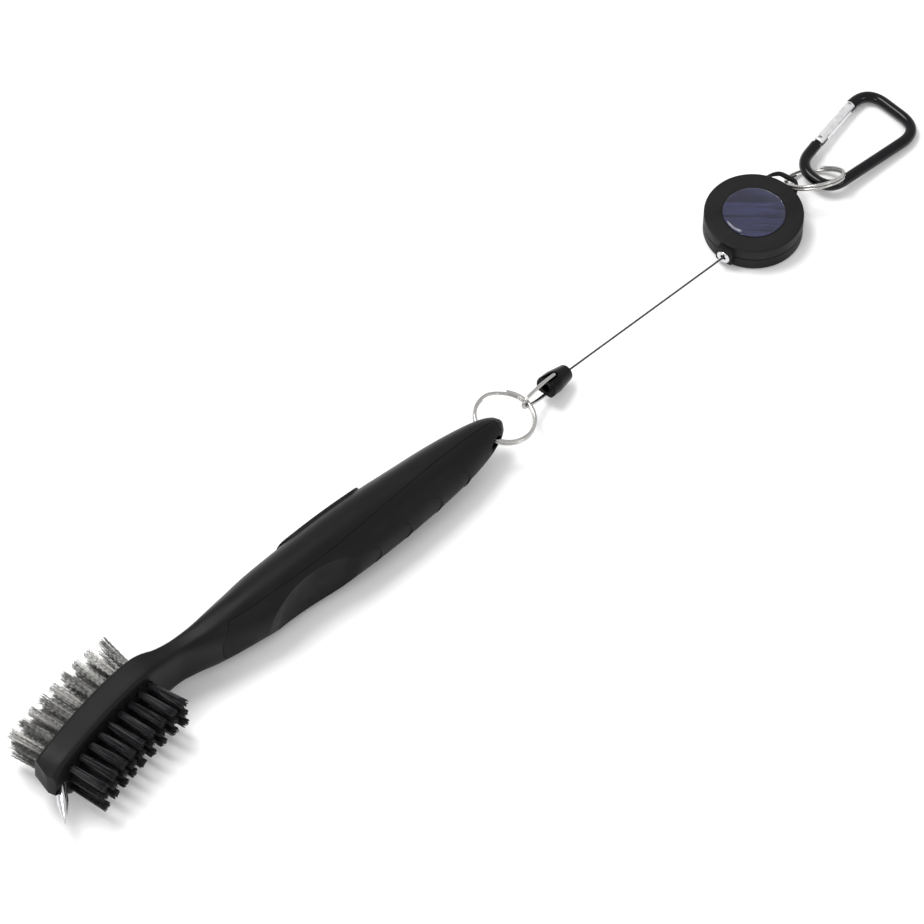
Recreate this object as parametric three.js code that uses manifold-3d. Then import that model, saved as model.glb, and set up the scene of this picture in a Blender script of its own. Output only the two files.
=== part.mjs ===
// Club groove brush with a retractable cord reel and a carabiner. Millimetres, +Z up.
// The brush lies on its side: the head tip is at low X, the reel and the carabiner at high X.
// Steel bristles point to +Y and nylon bristles to -Y. Positions are measured from the head
// tip and moved to the middle of the whole object at the very end.
import * as THREE from 'three';
import { mergeVertices } from 'three/addons/utils/BufferGeometryUtils.js';
import Module from 'manifold-3d';

const wasm = await Module();
wasm.setup();

const V = (x, y, z) => new THREE.Vector3(x, y, z);
const RAD = Math.PI / 180;
const GAP = 0.15;                     // air between pieces that fit into each other

// ---- driving dimensions ------------------------------------------------------------------
const MIDDLE = V(188.8, 1.1, 0);        // centre of the whole object, moved to the origin
const AXIS_Z = 11;                    // height of the brush axis above the floor

// Cross-sections of the brush: distance from the tip, sideways centre, half thickness (Y),
// half width (Z), and how square the section is (2 is an ellipse).
const SECTIONS = [
  { x: -4, y: -4.1, a: 4.7, b: 7, n: 8 },
  { x: 0, y: -3.2, a: 4.7, b: 8.3, n: 8 },
  { x: 3, y: -2.4, a: 4.6, b: 9.4, n: 8 },
  { x: 7, y: -1.5, a: 4.6, b: 10, n: 9 },
  { x: 20, y: 1.3, a: 4.6, b: 10, n: 9 },
  { x: 32, y: 3.2, a: 4.6, b: 10, n: 9 },
  { x: 42, y: 4.1, a: 4.5, b: 10, n: 9 },
  { x: 46.5, y: 4, a: 4.2, b: 9.8, n: 8 },
  { x: 51, y: 3.4, a: 3.4, b: 9.1, n: 7 },
  { x: 57, y: 2.9, a: 3.1, b: 8.5, n: 6 },
  { x: 63, y: 2.2, a: 4.1, b: 8.6, n: 4 },
  { x: 70, y: 1.4, a: 5.8, b: 9.2, n: 3 },
  { x: 80, y: 0.9, a: 8, b: 10, n: 2.2 },
  { x: 90, y: 0.6, a: 9.4, b: 10.5, n: 2.1 },
  { x: 105, y: 0.2, a: 10.4, b: 10.9, n: 2 },
  { x: 122, y: -0.2, a: 10.9, b: 11, n: 2 },
  { x: 138, y: -0.7, a: 10.6, b: 10.8, n: 2 },
  { x: 150, y: -1.1, a: 9.9, b: 10.2, n: 2 },
  { x: 162, y: -1.3, a: 9, b: 9.4, n: 2 },
  { x: 172, y: -1.4, a: 7.9, b: 8.2, n: 2 },
  { x: 181, y: -1.3, a: 6.3, b: 6.6, n: 2 },
  { x: 186.5, y: -1.1, a: 4.7, b: 5, n: 2 },
  { x: 189.8, y: -0.9, a: 3, b: 3.2, n: 2 },
  { x: 191.4, y: -0.8, a: 1.2, b: 1.3, n: 2 },
];
const SECTION_SIDES = 24;

// Flat cuts that shape the head tip, all through one corner: the way each cut faces.
const TIP_CORNER = V(-1.8, -5.9, 11.5);
const TIP_CUTS = [
  { yaw: 171, pitch: 5 },
  { yaw: 201, pitch: 9 },
  { yaw: 171, pitch: -40 },
  { yaw: 201, pitch: -40 },
];

const TUFTS = 9;                      // tufts in a row
const FIRST_TUFT = 6.1;               // distance of the first tuft from the tip
const TUFT_PITCH = 4.7;
const ROW_OFFSETS = { low: -5.2, mid: 0, high: 5.2 };
const SOCKET = { radius: 1.3, depth: 3 };
const NYLON = { side: -1, length: 13, root: 1.12, face: 1.35, tip: 1.75, fan: 13 };
const STEEL = { side: 1, length: 12.8, root: 1.12, face: 1.3, tip: 1.8, fan: 0 };
const TUFT_SIDES = 6;
const STRIP = 0.8;                    // width of the strip that joins the roots of one row

const SKIN = 1.7;                     // thickness of the rubber grip
// Distance of the seam from the brush axis, as a share of the half thickness there.
const SEAM = { front: 0.45, back: 0.07, from: 105, to: 185 };
const GRIP_ENDS = { front: 70, crescent: 22, back: 188.2 };
const SCALLOP = { x: 100.5, halfLength: 17.5, depth: 3.6, lean: 18 };
const RIDGES = { spots: [128, 141, 154.5, 167.5], halfHeight: 3.9, bulge: 2.3, wire: 0.55 };
const PAD = { from: 106.5, to: 141, halfWidth: 7, proud: 0.9, inlay: 0.9 };

const SPIKE = { tip: V(-5.3, -17.6, AXIS_Z), direction: V(0.583, 0.812, 0).normalize(),
  radius: 1.75, cone: 8, length: 15.6 };

const TAIL_HOLE = { x: 184.9, radius: 2.5, flare: 4.7 };

// Split rings: mean radius, wire width across and along the ring axis, rise between coils.
const TAIL_RING = { radius: 9.7, wide: 1.2, thick: 1, rise: 1.1, jog: 50, drop: 6, roll: 7,
  x: 184.45, y: -0.16, z: 11.35 };
const LUG_RING = { radius: 9.7, wide: 1.15, thick: 0.9, rise: 1, jog: 70,
  heading: -30, climb: 2.3, tilt: 35.2 };

// Bail and plug share one straight line that starts at the far wire of the tail ring.
const BAIL = { yaw: 6.8, drop: 13.6, wire: 0.6, bow: 2.3, pin: 14, spread: 3.45 };
const PLUG = { from: 10, to: 20.8, big: 3.8, small: 2.8, bore: 1.6, throat: 0.65,
  neck: 17, turn: 22 };
const CORD_RADIUS = 0.35;

// Reel: its own frame has the cord exit at -x, the lug at +x and z from its back face.
const REEL = { x: 311.5, y: 3.6, yaw: 11.5, radius: 16.4, height: 9.2, seam: 4.6, wall: 1.5,
  edge: 0.6, floor: 1.6, ceiling: 7.6 };
const BOSS = { reach: 17.9, halfWidth: 3, low: 1.7, high: 7.5 };
const EYELET = { z: 4.5, bore: 0.95, tube: 1.6, flange: 2.35, thick: 0.6, length: 4 };
const LUG = { low: 5.4, high: 6.6, slotIn: 16, slotOut: 20.4, rim: 21.6, slotHalf: 4.6,
  halfWidth: 6.2, wire: V(18.2, -1.2, 5.88) };
const DOME = { radius: 10.4, rim: 9.2, crown: 10.3, base: 8.75 };
const LABEL = { radius: 10.2, low: 8.25, high: 8.65 };
const SPOOL = { low: 2, high: 7.2, flange: 13.6, hub: 8.8, web: 0.6, bore: 2.35, well: 7.9 };
const POST_RADIUS = 2;
const WOUND = { inner: 8.95, outer: 10.7 };
const RETURN_SPRING = { from: 2.5, to: 7.5, turns: 4, low: 3, high: 6.4, thick: 0.28 };

// Carabiner: plan of the rod centre line, and its slope from the wide to the narrow end.
const CLIP = { x: 338.9, z: 4.38, pitch: 3.3, rod: 1.9 };
const CLIP_CORNERS = [
  { x: 11.3, y: 12.1 },
  { x: 0, y: 9.4, blend: 7.2 },
  { x: 0, y: -4.6, blend: 6.7 },
  { x: 42.3, y: -6.8, blend: 9 },
  { x: 42.3, y: 18, blend: 9 },
  { x: 33.4, y: 16.6 },
];
const GATE = { radius: 1.95, slot: 1.7, bore: 1.25, tongue: 1.3, tongueHeight: 2.3,
  pivot: 2.6, back: 1.5, pin: 0.6, latch: 0.5, hook: 2.7 };
const GATE_SPRING = { radius: 0.85, wire: 0.22, turns: 5, from: 5.6, to: 12.6 };

// ---- materials -----------------------------------------------------------------------------
function finish(colour, roughness, metalness) {
  return new THREE.MeshStandardMaterial({ color: colour, roughness, metalness });
}
const HARD_PLASTIC = finish('#1b1b1d', 0.42, 0);
const RUBBER = finish('#19191a', 0.62, 0);
const NYLON_BRISTLE = finish('#1d1d1f', 0.45, 0);
const STEEL_WIRE = finish('#b9b6ae', 0.35, 1);
const BRIGHT_METAL = finish('#d6d6d8', 0.16, 1);
const NICKEL = finish('#c4c4c6', 0.22, 1);
const GLOSS_PLASTIC = finish('#101012', 0.2, 0);
const CORD_BLACK = finish('#26262a', 0.7, 0);
const REEL_PLASTIC = finish('#232325', 0.5, 0);
const LABEL_PRINT = finish('#3a3a5c', 0.4, 0);
const CLEAR_DOME = finish('#c8cad8', 0.05, 0);
const WHITE_PLASTIC = finish('#d8d8d4', 0.5, 0);
const SPRING_STEEL = finish('#8f9296', 0.3, 1);
const BLACK_ANODISED = finish('#161618', 0.2, 0.6);
const SILVER_ANODISED = finish('#d9dadb', 0.3, 1);

// ---- building helpers ----------------------------------------------------------------------
function solid(geometry) {
  const bare = geometry.clone();
  bare.deleteAttribute('normal');
  bare.deleteAttribute('uv');
  const merged = mergeVertices(bare, 1e-4);
  const index = merged.index.array;
  const faces = [];
  for (let i = 0; i < index.length; i += 3) {
    const [p, q, r] = [index[i], index[i + 1], index[i + 2]];
    if (p !== q && q !== r && r !== p) faces.push(p, q, r);
  }
  return new wasm.Manifold(new wasm.Mesh({
    numProp: 3,
    vertProperties: new Float32Array(merged.attributes.position.array),
    triVerts: new Uint32Array(faces),
  }));
}

function geometryOf(body) {
  const mesh = body.simplify(0.01).getMesh();
  const geometry = new THREE.BufferGeometry();
  geometry.setAttribute('position', new THREE.BufferAttribute(mesh.vertProperties, 3));
  geometry.setIndex(new THREE.BufferAttribute(mesh.triVerts, 1));
  return geometry;
}

function join(bodies) {
  return bodies.reduce((whole, body) => whole.add(body));
}

function signedVolume(points, faces) {
  let volume = 0;
  for (let i = 0; i < faces.length; i += 3) {
    const [p, q, r] = [points[faces[i]], points[faces[i + 1]], points[faces[i + 2]]];
    volume += p.dot(q.clone().cross(r));
  }
  return volume;
}

// A closed body through a list of convex rings that all have the same number of points.
function loft(rings) {
  const sides = rings[0].length;
  const points = rings.flat();
  const faces = [];
  for (let i = 0; i < rings.length - 1; i++) {
    for (let j = 0; j < sides; j++) {
      const a = i * sides + j;
      const b = i * sides + (j + 1) % sides;
      faces.push(a, b, b + sides, a, b + sides, a + sides);
    }
  }
  const last = (rings.length - 1) * sides;
  for (let j = 1; j < sides - 1; j++) {
    faces.push(0, j + 1, j, last, last + j, last + j + 1);
  }
  if (signedVolume(points, faces) < 0) faces.reverse();
  const geometry = new THREE.BufferGeometry();
  const flat = points.flatMap((p) => [p.x, p.y, p.z]);
  geometry.setAttribute('position', new THREE.Float32BufferAttribute(flat, 3));
  geometry.setIndex(faces);
  return geometry;
}

function circleRing(centre, u, v, radius, sides) {
  return Array.from({ length: sides }, (_, i) => {
    const t = (i + 0.5) * 2 * Math.PI / sides;
    return centre.clone().addScaledVector(u, radius * Math.cos(t))
      .addScaledVector(v, radius * Math.sin(t));
  });
}

function tube(curve, radius, steps, sides) {
  const frames = curve.computeFrenetFrames(steps, false);
  const centres = curve.getSpacedPoints(steps);
  return loft(centres.map((p, i) => circleRing(p, frames.normals[i], frames.binormals[i],
    radius, sides)));
}

// A round bar between two points; the two radii may differ.
function bar(start, end, radius, sides = 12, endRadius = radius) {
  const axis = end.clone().sub(start).normalize();
  const side = Math.abs(axis.z) > 0.9 ? V(1, 0, 0) : V(0, 0, 1);
  const u = side.cross(axis).normalize();
  const v = axis.clone().cross(u);
  return loft([circleRing(start, u, v, radius, sides), circleRing(end, u, v, endRadius, sides)]);
}

// A body of revolution about Z through a closed list of [radius, height] pairs.
function turned(profile, segments) {
  const closed = [...profile, profile[0]].map(([r, z]) => new THREE.Vector2(r, z));
  const geometry = new THREE.LatheGeometry(closed, segments);
  geometry.rotateX(Math.PI / 2);
  const body = solid(geometry);
  if (body.volume() > 0) return body;
  geometry.setIndex(Array.from(geometry.index.array).reverse());
  return solid(geometry);
}

function box(x0, x1, y0, y1, z0, z1) {
  const geometry = new THREE.BoxGeometry(x1 - x0, y1 - y0, z1 - z0);
  geometry.translate((x0 + x1) / 2, (y0 + y1) / 2, (z0 + z1) / 2);
  return solid(geometry);
}

function prism(outline, z0, z1) {
  const shape = new THREE.Shape(outline.map(([x, y]) => new THREE.Vector2(x, y)));
  const geometry = new THREE.ExtrudeGeometry(shape, { depth: z1 - z0, bevelEnabled: false });
  geometry.translate(0, 0, z0);
  return solid(geometry);
}

function frame(x, y, z, yaw = 0, pitch = 0) {
  const turn = new THREE.Euler(0, -pitch * RAD, yaw * RAD, 'ZYX');
  return new THREE.Matrix4().makeRotationFromEuler(turn).setPosition(x, y, z);
}

// ---- brush ---------------------------------------------------------------------------------
// Smooth value of one section property at distance x, through all the sections.
function along(x, key) {
  const last = SECTIONS.length - 1;
  const slope = (i) => {
    const p = SECTIONS[Math.max(i - 1, 0)];
    const q = SECTIONS[Math.min(i + 1, last)];
    return (q[key] - p[key]) / (q.x - p.x);
  };
  let i = 0;
  while (i < last - 1 && x > SECTIONS[i + 1].x) i++;
  const [from, to] = [SECTIONS[i], SECTIONS[i + 1]];
  const span = to.x - from.x;
  const t = THREE.MathUtils.clamp((x - from.x) / span, 0, 1);
  const t2 = t * t;
  const t3 = t2 * t;
  return (2 * t3 - 3 * t2 + 1) * from[key] + (t3 - 2 * t2 + t) * span * slope(i)
    + (3 * t2 - 2 * t3) * to[key] + (t3 - t2) * span * slope(i + 1);
}

function headSlope(x) {
  return Math.atan(along(x + 0.5, 'y') - along(x - 0.5, 'y'));
}

// Point of the brush at distance x, `out` to the side of the centre line, `up` above the axis.
function brushPoint(x, out, up) {
  const angle = headSlope(x);
  return V(x - out * Math.sin(angle), along(x, 'y') + out * Math.cos(angle), AXIS_Z + up);
}

function sectionRing(x, grow, sides = SECTION_SIDES) {
  const power = 2 / along(x, 'n');
  const a = Math.max(along(x, 'a') + grow, 0.3);
  const b = Math.max(along(x, 'b') + grow, 0.3);
  return Array.from({ length: sides }, (_, i) => {
    const t = (i + 0.5) * 2 * Math.PI / sides;
    const c = Math.cos(t);
    const s = Math.sin(t);
    return brushPoint(x, a * Math.sign(c) * Math.abs(c) ** power,
      b * Math.sign(s) * Math.abs(s) ** power);
  });
}

function brushStops(from, to) {
  const stops = [from];
  for (let i = 0; i < SECTIONS.length - 1; i++) {
    const [p, q] = [SECTIONS[i].x, SECTIONS[i + 1].x];
    for (const x of q - p > 6.2 && p > 60 ? [p, (p + q) / 2] : [p]) {
      if (x > from + 0.4 && x < to - 0.4) stops.push(x);
    }
  }
  stops.push(to);
  return stops;
}

function brushLoft(grow, from = SECTIONS[0].x, to = SECTIONS[SECTIONS.length - 1].x) {
  return solid(loft(brushStops(from, to).map((x) => sectionRing(x, grow))));
}

function seamShare(x) {
  return SEAM.front + (SEAM.back - SEAM.front) * THREE.MathUtils.smoothstep(x, SEAM.from, SEAM.to);
}

// Everything on the nylon side of the seam, between the rounded front end and the back end.
function gripRegion(shrink) {
  const front = GRIP_ENDS.front + shrink;
  const back = GRIP_ENDS.back - shrink;
  const half = 14;
  const rings = brushStops(front, back).map((x) => {
    const blend = Math.min(1, (x - front) / GRIP_ENDS.crescent + 0.02);
    const rounded = Math.sqrt(1 - (1 - blend) ** 2);
    const seam = along(x, 'y') - seamShare(x) * along(x, 'a') - shrink;
    const rise = half * rounded;
    return [V(x, -30, AXIS_Z - rise), V(x, seam, AXIS_Z - rise),
      V(x, seam, AXIS_Z + rise), V(x, -30, AXIS_Z + rise)];
  });
  return solid(loft(rings));
}

function scallopCutter() {
  const { x, halfLength, depth, lean } = SCALLOP;
  const radius = (halfLength ** 2 + depth ** 2) / (2 * depth);
  const y = along(x, 'y') - along(x, 'a') + depth - radius;
  const shift = 14 * Math.tan(lean * RAD);
  return solid(bar(V(x - shift, y, AXIS_Z - 14), V(x + shift, y, AXIS_Z + 14), radius, 72));
}

// A thin raised crescent on the nylon side face, bowed towards the tail.
function ridge(x) {
  const { halfHeight, bulge, wire } = RIDGES;
  const points = [];
  for (let i = -4; i <= 4; i++) {
    const share = i / 4;
    const spot = x + bulge * (1 - share * share);
    const up = halfHeight * share;
    const lift = Math.sqrt(1 - (up / along(spot, 'b')) ** 2);
    points.push(V(spot, along(spot, 'y') - along(spot, 'a') * lift + 0.15, AXIS_Z + up));
  }
  return solid(tube(new THREE.CatmullRomCurve3(points), wire, 10, 6));
}

function padRegion(shrink) {
  const { from, to, halfWidth } = PAD;
  const half = halfWidth - shrink;
  const outline = [];
  for (let i = 0; i <= 10; i++) {
    const t = (90 + 18 * i) * RAD;
    outline.push([from + halfWidth + half * Math.cos(t), half * Math.sin(t)]);
  }
  for (let i = 0; i <= 10; i++) {
    const t = (-90 + 18 * i) * RAD;
    outline.push([to - halfWidth + half * Math.cos(t), half * Math.sin(t)]);
  }
  const shape = new THREE.Shape(outline.map(([x, z]) => new THREE.Vector2(x, z)));
  const geometry = new THREE.ExtrudeGeometry(shape, { depth: 20, bevelEnabled: false });
  geometry.rotateX(Math.PI / 2);
  geometry.translate(0, 22, AXIS_Z);
  return geometry;
}

function tuftX(i) {
  return FIRST_TUFT + TUFT_PITCH * i;
}

// Extra lean of a tuft towards the handle; only the tufts nearest the neck have any.
function tuftLean(i, kind) {
  return kind.fan * Math.max(0, (i - 4) / 4) ** 1.5 * RAD;
}

function socket(x, side, up) {
  const face = side * along(x, 'a');
  return solid(bar(brushPoint(x, face - side * SOCKET.depth, up),
    brushPoint(x, face + side * 2, up), SOCKET.radius, TUFT_SIDES));
}

// The strip under the tufts of one row, wide enough for the gap it needs when it is a tunnel.
function rootStrip(side, up, half) {
  const middle = SOCKET.depth - STRIP;
  const rings = Array.from({ length: TUFTS }, (_, i) => {
    const x = tuftX(i);
    const out = side * (along(x, 'a') - middle);
    return [[-half, -half], [half, -half], [half, half], [-half, half]]
      .map(([u, v]) => brushPoint(x, out + u, up + v));
  });
  return solid(loft(rings));
}

function tuft(i, up, kind) {
  const x = tuftX(i);
  const face = kind.side * along(x, 'a');
  const lean = tuftLean(i, kind);
  const spots = [
    [face - kind.side * (SOCKET.depth - GAP), 0, kind.root],
    [face + kind.side * 0.3, 0, kind.face - 0.2],
    [face + kind.side * kind.length * Math.cos(lean), kind.length * Math.sin(lean), kind.tip],
  ];
  const angle = headSlope(x);
  const u = V(Math.cos(angle), Math.sin(angle), 0);
  const v = V(0, 0, 1);
  return solid(loft(spots.map(([out, shift, radius]) => circleRing(
    brushPoint(x, out, up).addScaledVector(u, shift), u, v, radius, TUFT_SIDES))));
}

function tuftRow(up, kind) {
  const tufts = Array.from({ length: TUFTS }, (_, i) => tuft(i, up, kind));
  return join([...tufts, rootStrip(kind.side, up, STRIP / 2)]);
}

function bristleSockets() {
  const cuts = [];
  for (const kind of [NYLON, STEEL]) {
    for (const up of Object.values(ROW_OFFSETS)) {
      for (let i = 0; i < TUFTS; i++) cuts.push(socket(tuftX(i), kind.side, up));
      cuts.push(rootStrip(kind.side, up, STRIP / 2 + GAP));
    }
  }
  return join(cuts);
}

// A body round the spike axis: [distance from the point, radius] pairs.
function spikeBody(stops) {
  const { tip, direction } = SPIKE;
  const side = V(-direction.y, direction.x, 0);
  return solid(loft(stops.map(([s, r]) => circleRing(tip.clone().addScaledVector(direction, s),
    side, V(0, 0, 1), r, 14))));
}

function spike() {
  const { cone, radius, length } = SPIKE;
  return spikeBody([[0, 0.2], [1.2, 0.45], [cone * 0.55, radius * 0.7], [cone, radius],
    [length, radius]]);
}

function spikeHole() {
  const { cone, radius, length } = SPIKE;
  return spikeBody([[cone, radius + GAP], [length + GAP, radius + GAP]]);
}

function tipCut({ yaw, pitch }) {
  const { x, y, z } = TIP_CORNER;
  return box(0, 14, -20, 20, -20, 20).transform(frame(x, y, z, yaw, pitch).toArray());
}

function tailHole() {
  const { x, radius, flare } = TAIL_HOLE;
  const y = along(x, 'y');
  const half = along(x, 'a');
  const through = bar(V(x, y - 12, AXIS_Z), V(x, y + 12, AXIS_Z), radius, 20);
  const mouths = [-1, 1].map((side) => bar(V(x, y + side * (half + 2), AXIS_Z),
    V(x, y + side * (half - 1.1), AXIS_Z), flare, 20, radius));
  return join([through, ...mouths].map(solid));
}

function brushPieces() {
  const outer = brushLoft(0);
  const scallop = scallopCutter();
  const hole = tailHole();
  const core = brushLoft(-SKIN, GRIP_ENDS.front - 4, GRIP_ENDS.back - 1.2);
  const coreWithAir = brushLoft(-SKIN + GAP, GRIP_ENDS.front - 4, GRIP_ENDS.back - 1.2 + GAP);
  const padOuter = brushLoft(PAD.proud, PAD.from - 4, PAD.to + 4);
  const padBed = brushLoft(-PAD.inlay, PAD.from - 6, PAD.to + 6);
  const padBedWithAir = brushLoft(-PAD.inlay + GAP, PAD.from - 6, PAD.to + 6);
  const padWide = solid(padRegion(0));
  const padNarrow = solid(padRegion(GAP));
  const scallopCore = scallop.intersect(box(60, 150, -30, 0, -5, 30));

  const body = outer.subtract(gripRegion(0).subtract(core))
    .subtract(padWide.subtract(padBed))
    .subtract(scallopCore.translate([0, SKIN, 0]))
    .subtract(hole)
    .subtract(bristleSockets())
    .subtract(join(TIP_CUTS.map(tipCut)))
    .subtract(spikeHole());
  const skin = join([outer, ...RIDGES.spots.map(ridge)]).intersect(gripRegion(GAP));
  const grip = skin.subtract(coreWithAir.subtract(scallopCore.translate([0, SKIN - GAP, 0])))
    .subtract(scallop)
    .subtract(hole);
  const pad = padOuter.intersect(padNarrow).subtract(padBedWithAir);
  return { body, grip, pad };
}

// ---- split rings ---------------------------------------------------------------------------
// Two flat coils with a short jog between them; the angle of the jog is where the ends show.
function splitRing(spec) {
  const jogSpan = 40;
  const start = spec.jog + jogSpan + 6;
  const end = spec.jog + 720 - 6;
  const steps = 42;
  const rings = [];
  for (let i = 0; i <= steps; i++) {
    const angle = start + (end - start) * i / steps;
    const climb = THREE.MathUtils.smoothstep(angle, spec.jog + 360, spec.jog + 360 + jogSpan);
    const out = V(Math.cos(angle * RAD), Math.sin(angle * RAD), 0);
    const centre = out.clone().multiplyScalar(spec.radius).setZ((climb - 0.5) * spec.rise);
    const up = V(0, 0, spec.thick / spec.wide);
    rings.push(circleRing(centre, out, up, spec.wide / 2 / Math.cos(22.5 * RAD), 8));
  }
  return solid(loft(rings));
}

function tailRingFrame() {
  const { x, y, z, radius, drop, roll } = TAIL_RING;
  return frame(x, y, z, 0, -drop)
    .multiply(new THREE.Matrix4().makeRotationX(roll * RAD))
    .multiply(new THREE.Matrix4().makeTranslation(radius, 0, 0));
}

// ---- bail, plug and cord -------------------------------------------------------------------
// The local frame has its origin on the far wire of the tail ring and x towards the plug.
function bailFrame() {
  const far = V(TAIL_RING.radius, 0, 0).applyMatrix4(tailRingFrame());
  return frame(far.x, far.y, far.z, BAIL.yaw, -BAIL.drop);
}

function bailWire() {
  const { bow, pin, spread, wire } = BAIL;
  const corner = 0.9;
  const path = new THREE.CurvePath();
  const half = [V(pin, 0, PLUG.bore + 0.3), V(pin, 0, spread - corner), V(pin - corner, 0, spread),
    V(PLUG.from - 0.5, 0, spread), V(1.2, 0, bow)];
  path.add(new THREE.LineCurve3(half[0], half[1]));
  path.add(new THREE.QuadraticBezierCurve3(half[1], V(pin, 0, spread), half[2]));
  path.add(new THREE.LineCurve3(half[2], half[3]));
  path.add(new THREE.QuadraticBezierCurve3(half[3], V(5, 0, spread), half[4]));
  const mirror = half.map((p) => V(p.x, 0, -p.z));
  path.add(new THREE.CubicBezierCurve3(half[4], V(-2.6, 0, bow * 0.85), V(-2.6, 0, -bow * 0.85),
    mirror[4]));
  path.add(new THREE.QuadraticBezierCurve3(mirror[4], V(5, 0, -spread), mirror[3]));
  path.add(new THREE.LineCurve3(mirror[3], mirror[2]));
  path.add(new THREE.QuadraticBezierCurve3(mirror[2], V(pin, 0, -spread), mirror[1]));
  path.add(new THREE.LineCurve3(mirror[1], mirror[0]));
  return tube(path, wire, 40, 8);
}

function plugBody() {
  const { from, to, big, small, bore, throat, neck, turn } = PLUG;
  const profile = [[bore, from], [big - 0.5, from], [big, from + 0.5], [big, from + 4],
    [small, to - 0.5], [small - 0.4, to], [throat, to], [throat, neck], [bore, neck - 0.9]];
  const body = turned(profile, 24).transform(new THREE.Matrix4()
    .makeRotationY(Math.PI / 2).toArray());
  const { pin, spread, wire } = BAIL;
  const low = spread - wire - GAP;
  const reach = pin - from + 1.5;
  const half = wire + 0.2;
  const fan = [[half, half], [half, -half], [-reach, -half - reach * Math.tan(turn * RAD)],
    [-reach, half + reach * Math.tan(turn * RAD)]];
  const wedge = prism(fan, low, big + 1).translate([pin, 0, 0]);
  const lower = prism(fan, -big - 1, -low).translate([pin, 0, 0]);
  const hole = solid(bar(V(pin, 0, -5), V(pin, 0, 5), wire + GAP, 12));
  return body.subtract(wedge).subtract(lower).subtract(hole);
}

function knot() {
  const geometry = new THREE.SphereGeometry(PLUG.bore - 0.3, 10, 6);
  geometry.translate(PLUG.neck - 1.9, 0, 0);
  return geometry;
}

function plugExit() {
  return V(PLUG.neck + 0.2, 0, 0).applyMatrix4(bailFrame());
}

function cordStart() {
  return V(PLUG.to + 0.2, 0, 0).applyMatrix4(bailFrame());
}

function cordEnd() {
  return V(-BOSS.reach + 1.2, 0, EYELET.z).applyMatrix4(reelFrame());
}

function cordPath() {
  const path = new THREE.CurvePath();
  const mouth = V(-BOSS.reach - EYELET.thick, 0, EYELET.z).applyMatrix4(reelFrame());
  path.add(new THREE.LineCurve3(plugExit(), cordStart()));
  path.add(new THREE.LineCurve3(cordStart(), mouth));
  path.add(new THREE.LineCurve3(mouth, cordEnd()));
  return path;
}

// ---- reel ----------------------------------------------------------------------------------
function reelFrame() {
  return frame(REEL.x, REEL.y, 0, REEL.yaw);
}

function bossBlock() {
  return box(-BOSS.reach, -REEL.radius + 3, -BOSS.halfWidth, BOSS.halfWidth, BOSS.low, BOSS.high);
}

function eyeletHole() {
  return solid(bar(V(-BOSS.reach - 1, 0, EYELET.z), V(-REEL.radius + 2.5, 0, EYELET.z),
    EYELET.tube + GAP, 16));
}

function eyelet() {
  const { bore, tube: outer, flange, thick, length } = EYELET;
  const profile = [[bore, 0], [bore + 0.3, -thick], [flange - 0.2, -thick], [flange, -0.2],
    [flange, 0], [outer, 0], [outer, length], [bore, length]];
  const body = turned(profile, 18).transform(new THREE.Matrix4().makeRotationY(Math.PI / 2)
    .toArray());
  return body.translate([-BOSS.reach - 0.05, 0, EYELET.z]);
}

function reelFront() {
  const { radius, height, seam, wall, edge, ceiling } = REEL;
  const low = seam + 0.1;
  const profile = [[radius - wall, low], [radius, low], [radius, height - edge],
    [radius - edge * 0.3, height - edge * 0.3], [radius - edge, height], [DOME.radius + GAP, height],
    [DOME.radius + GAP, LABEL.low - GAP], [0, LABEL.low - GAP], [0, ceiling], [radius - wall, ceiling]];
  const boss = bossBlock().intersect(box(-30, 0, -10, 10, low, 10));
  const outside = boss.add(lugBridge()).subtract(reelInside());
  return turned(profile, 48).add(outside).subtract(eyeletHole());
}

function reelInside() {
  const inner = REEL.radius - REEL.wall;
  return turned([[0, -1], [inner, -1], [inner, 11], [0, 11]], 48);
}

function lugBridge() {
  const { low, high, slotIn, slotOut, rim, slotHalf, halfWidth } = LUG;
  const outline = [[REEL.radius - 1.2, halfWidth + 1.8], [REEL.radius - 1.2, -halfWidth - 1.8]];
  for (let i = 0; i <= 10; i++) {
    const t = -1 + i / 5;
    outline.push([rim - 5.2 * t ** 4, halfWidth * t]);
  }
  const plate = prism(outline, low, high);
  const slot = prism([[slotIn, -slotHalf], [slotOut - 1.6, -slotHalf], [slotOut, -slotHalf + 1.8],
    [slotOut, slotHalf - 1.8], [slotOut - 1.6, slotHalf], [slotIn, slotHalf]], low - 1, high + 1);
  return plate.subtract(slot);
}

function reelBack() {
  const { radius, seam, wall, edge, floor } = REEL;
  const high = seam - 0.1;
  const profile = [[0, 0], [radius - edge, 0], [radius - edge * 0.3, edge * 0.3], [radius, edge],
    [radius, high], [radius - wall, high], [radius - wall, floor], [POST_RADIUS, floor],
    [POST_RADIUS, SPOOL.high + 0.2], [0, SPOOL.high + 0.2]];
  const boss = bossBlock().intersect(box(-30, 0, -10, 10, 0, high)).subtract(reelInside());
  return turned(profile, 48).add(boss).subtract(eyeletHole());
}

function spool() {
  const { low, high, flange, hub, web, bore, well } = SPOOL;
  return turned([[bore, low], [flange, low], [flange, low + web], [hub, low + web],
    [hub, high - web], [flange, high - web], [flange, high], [well, high], [well, low + web],
    [bore, low + web]], 36);
}

function woundCord() {
  const low = SPOOL.low + SPOOL.web + GAP;
  const high = SPOOL.high - SPOOL.web - GAP;
  return turned([[WOUND.inner, low], [WOUND.outer - 0.2, low], [WOUND.outer, low + 0.3],
    [WOUND.outer, high - 0.3], [WOUND.outer - 0.2, high], [WOUND.inner, high]], 32);
}

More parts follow.
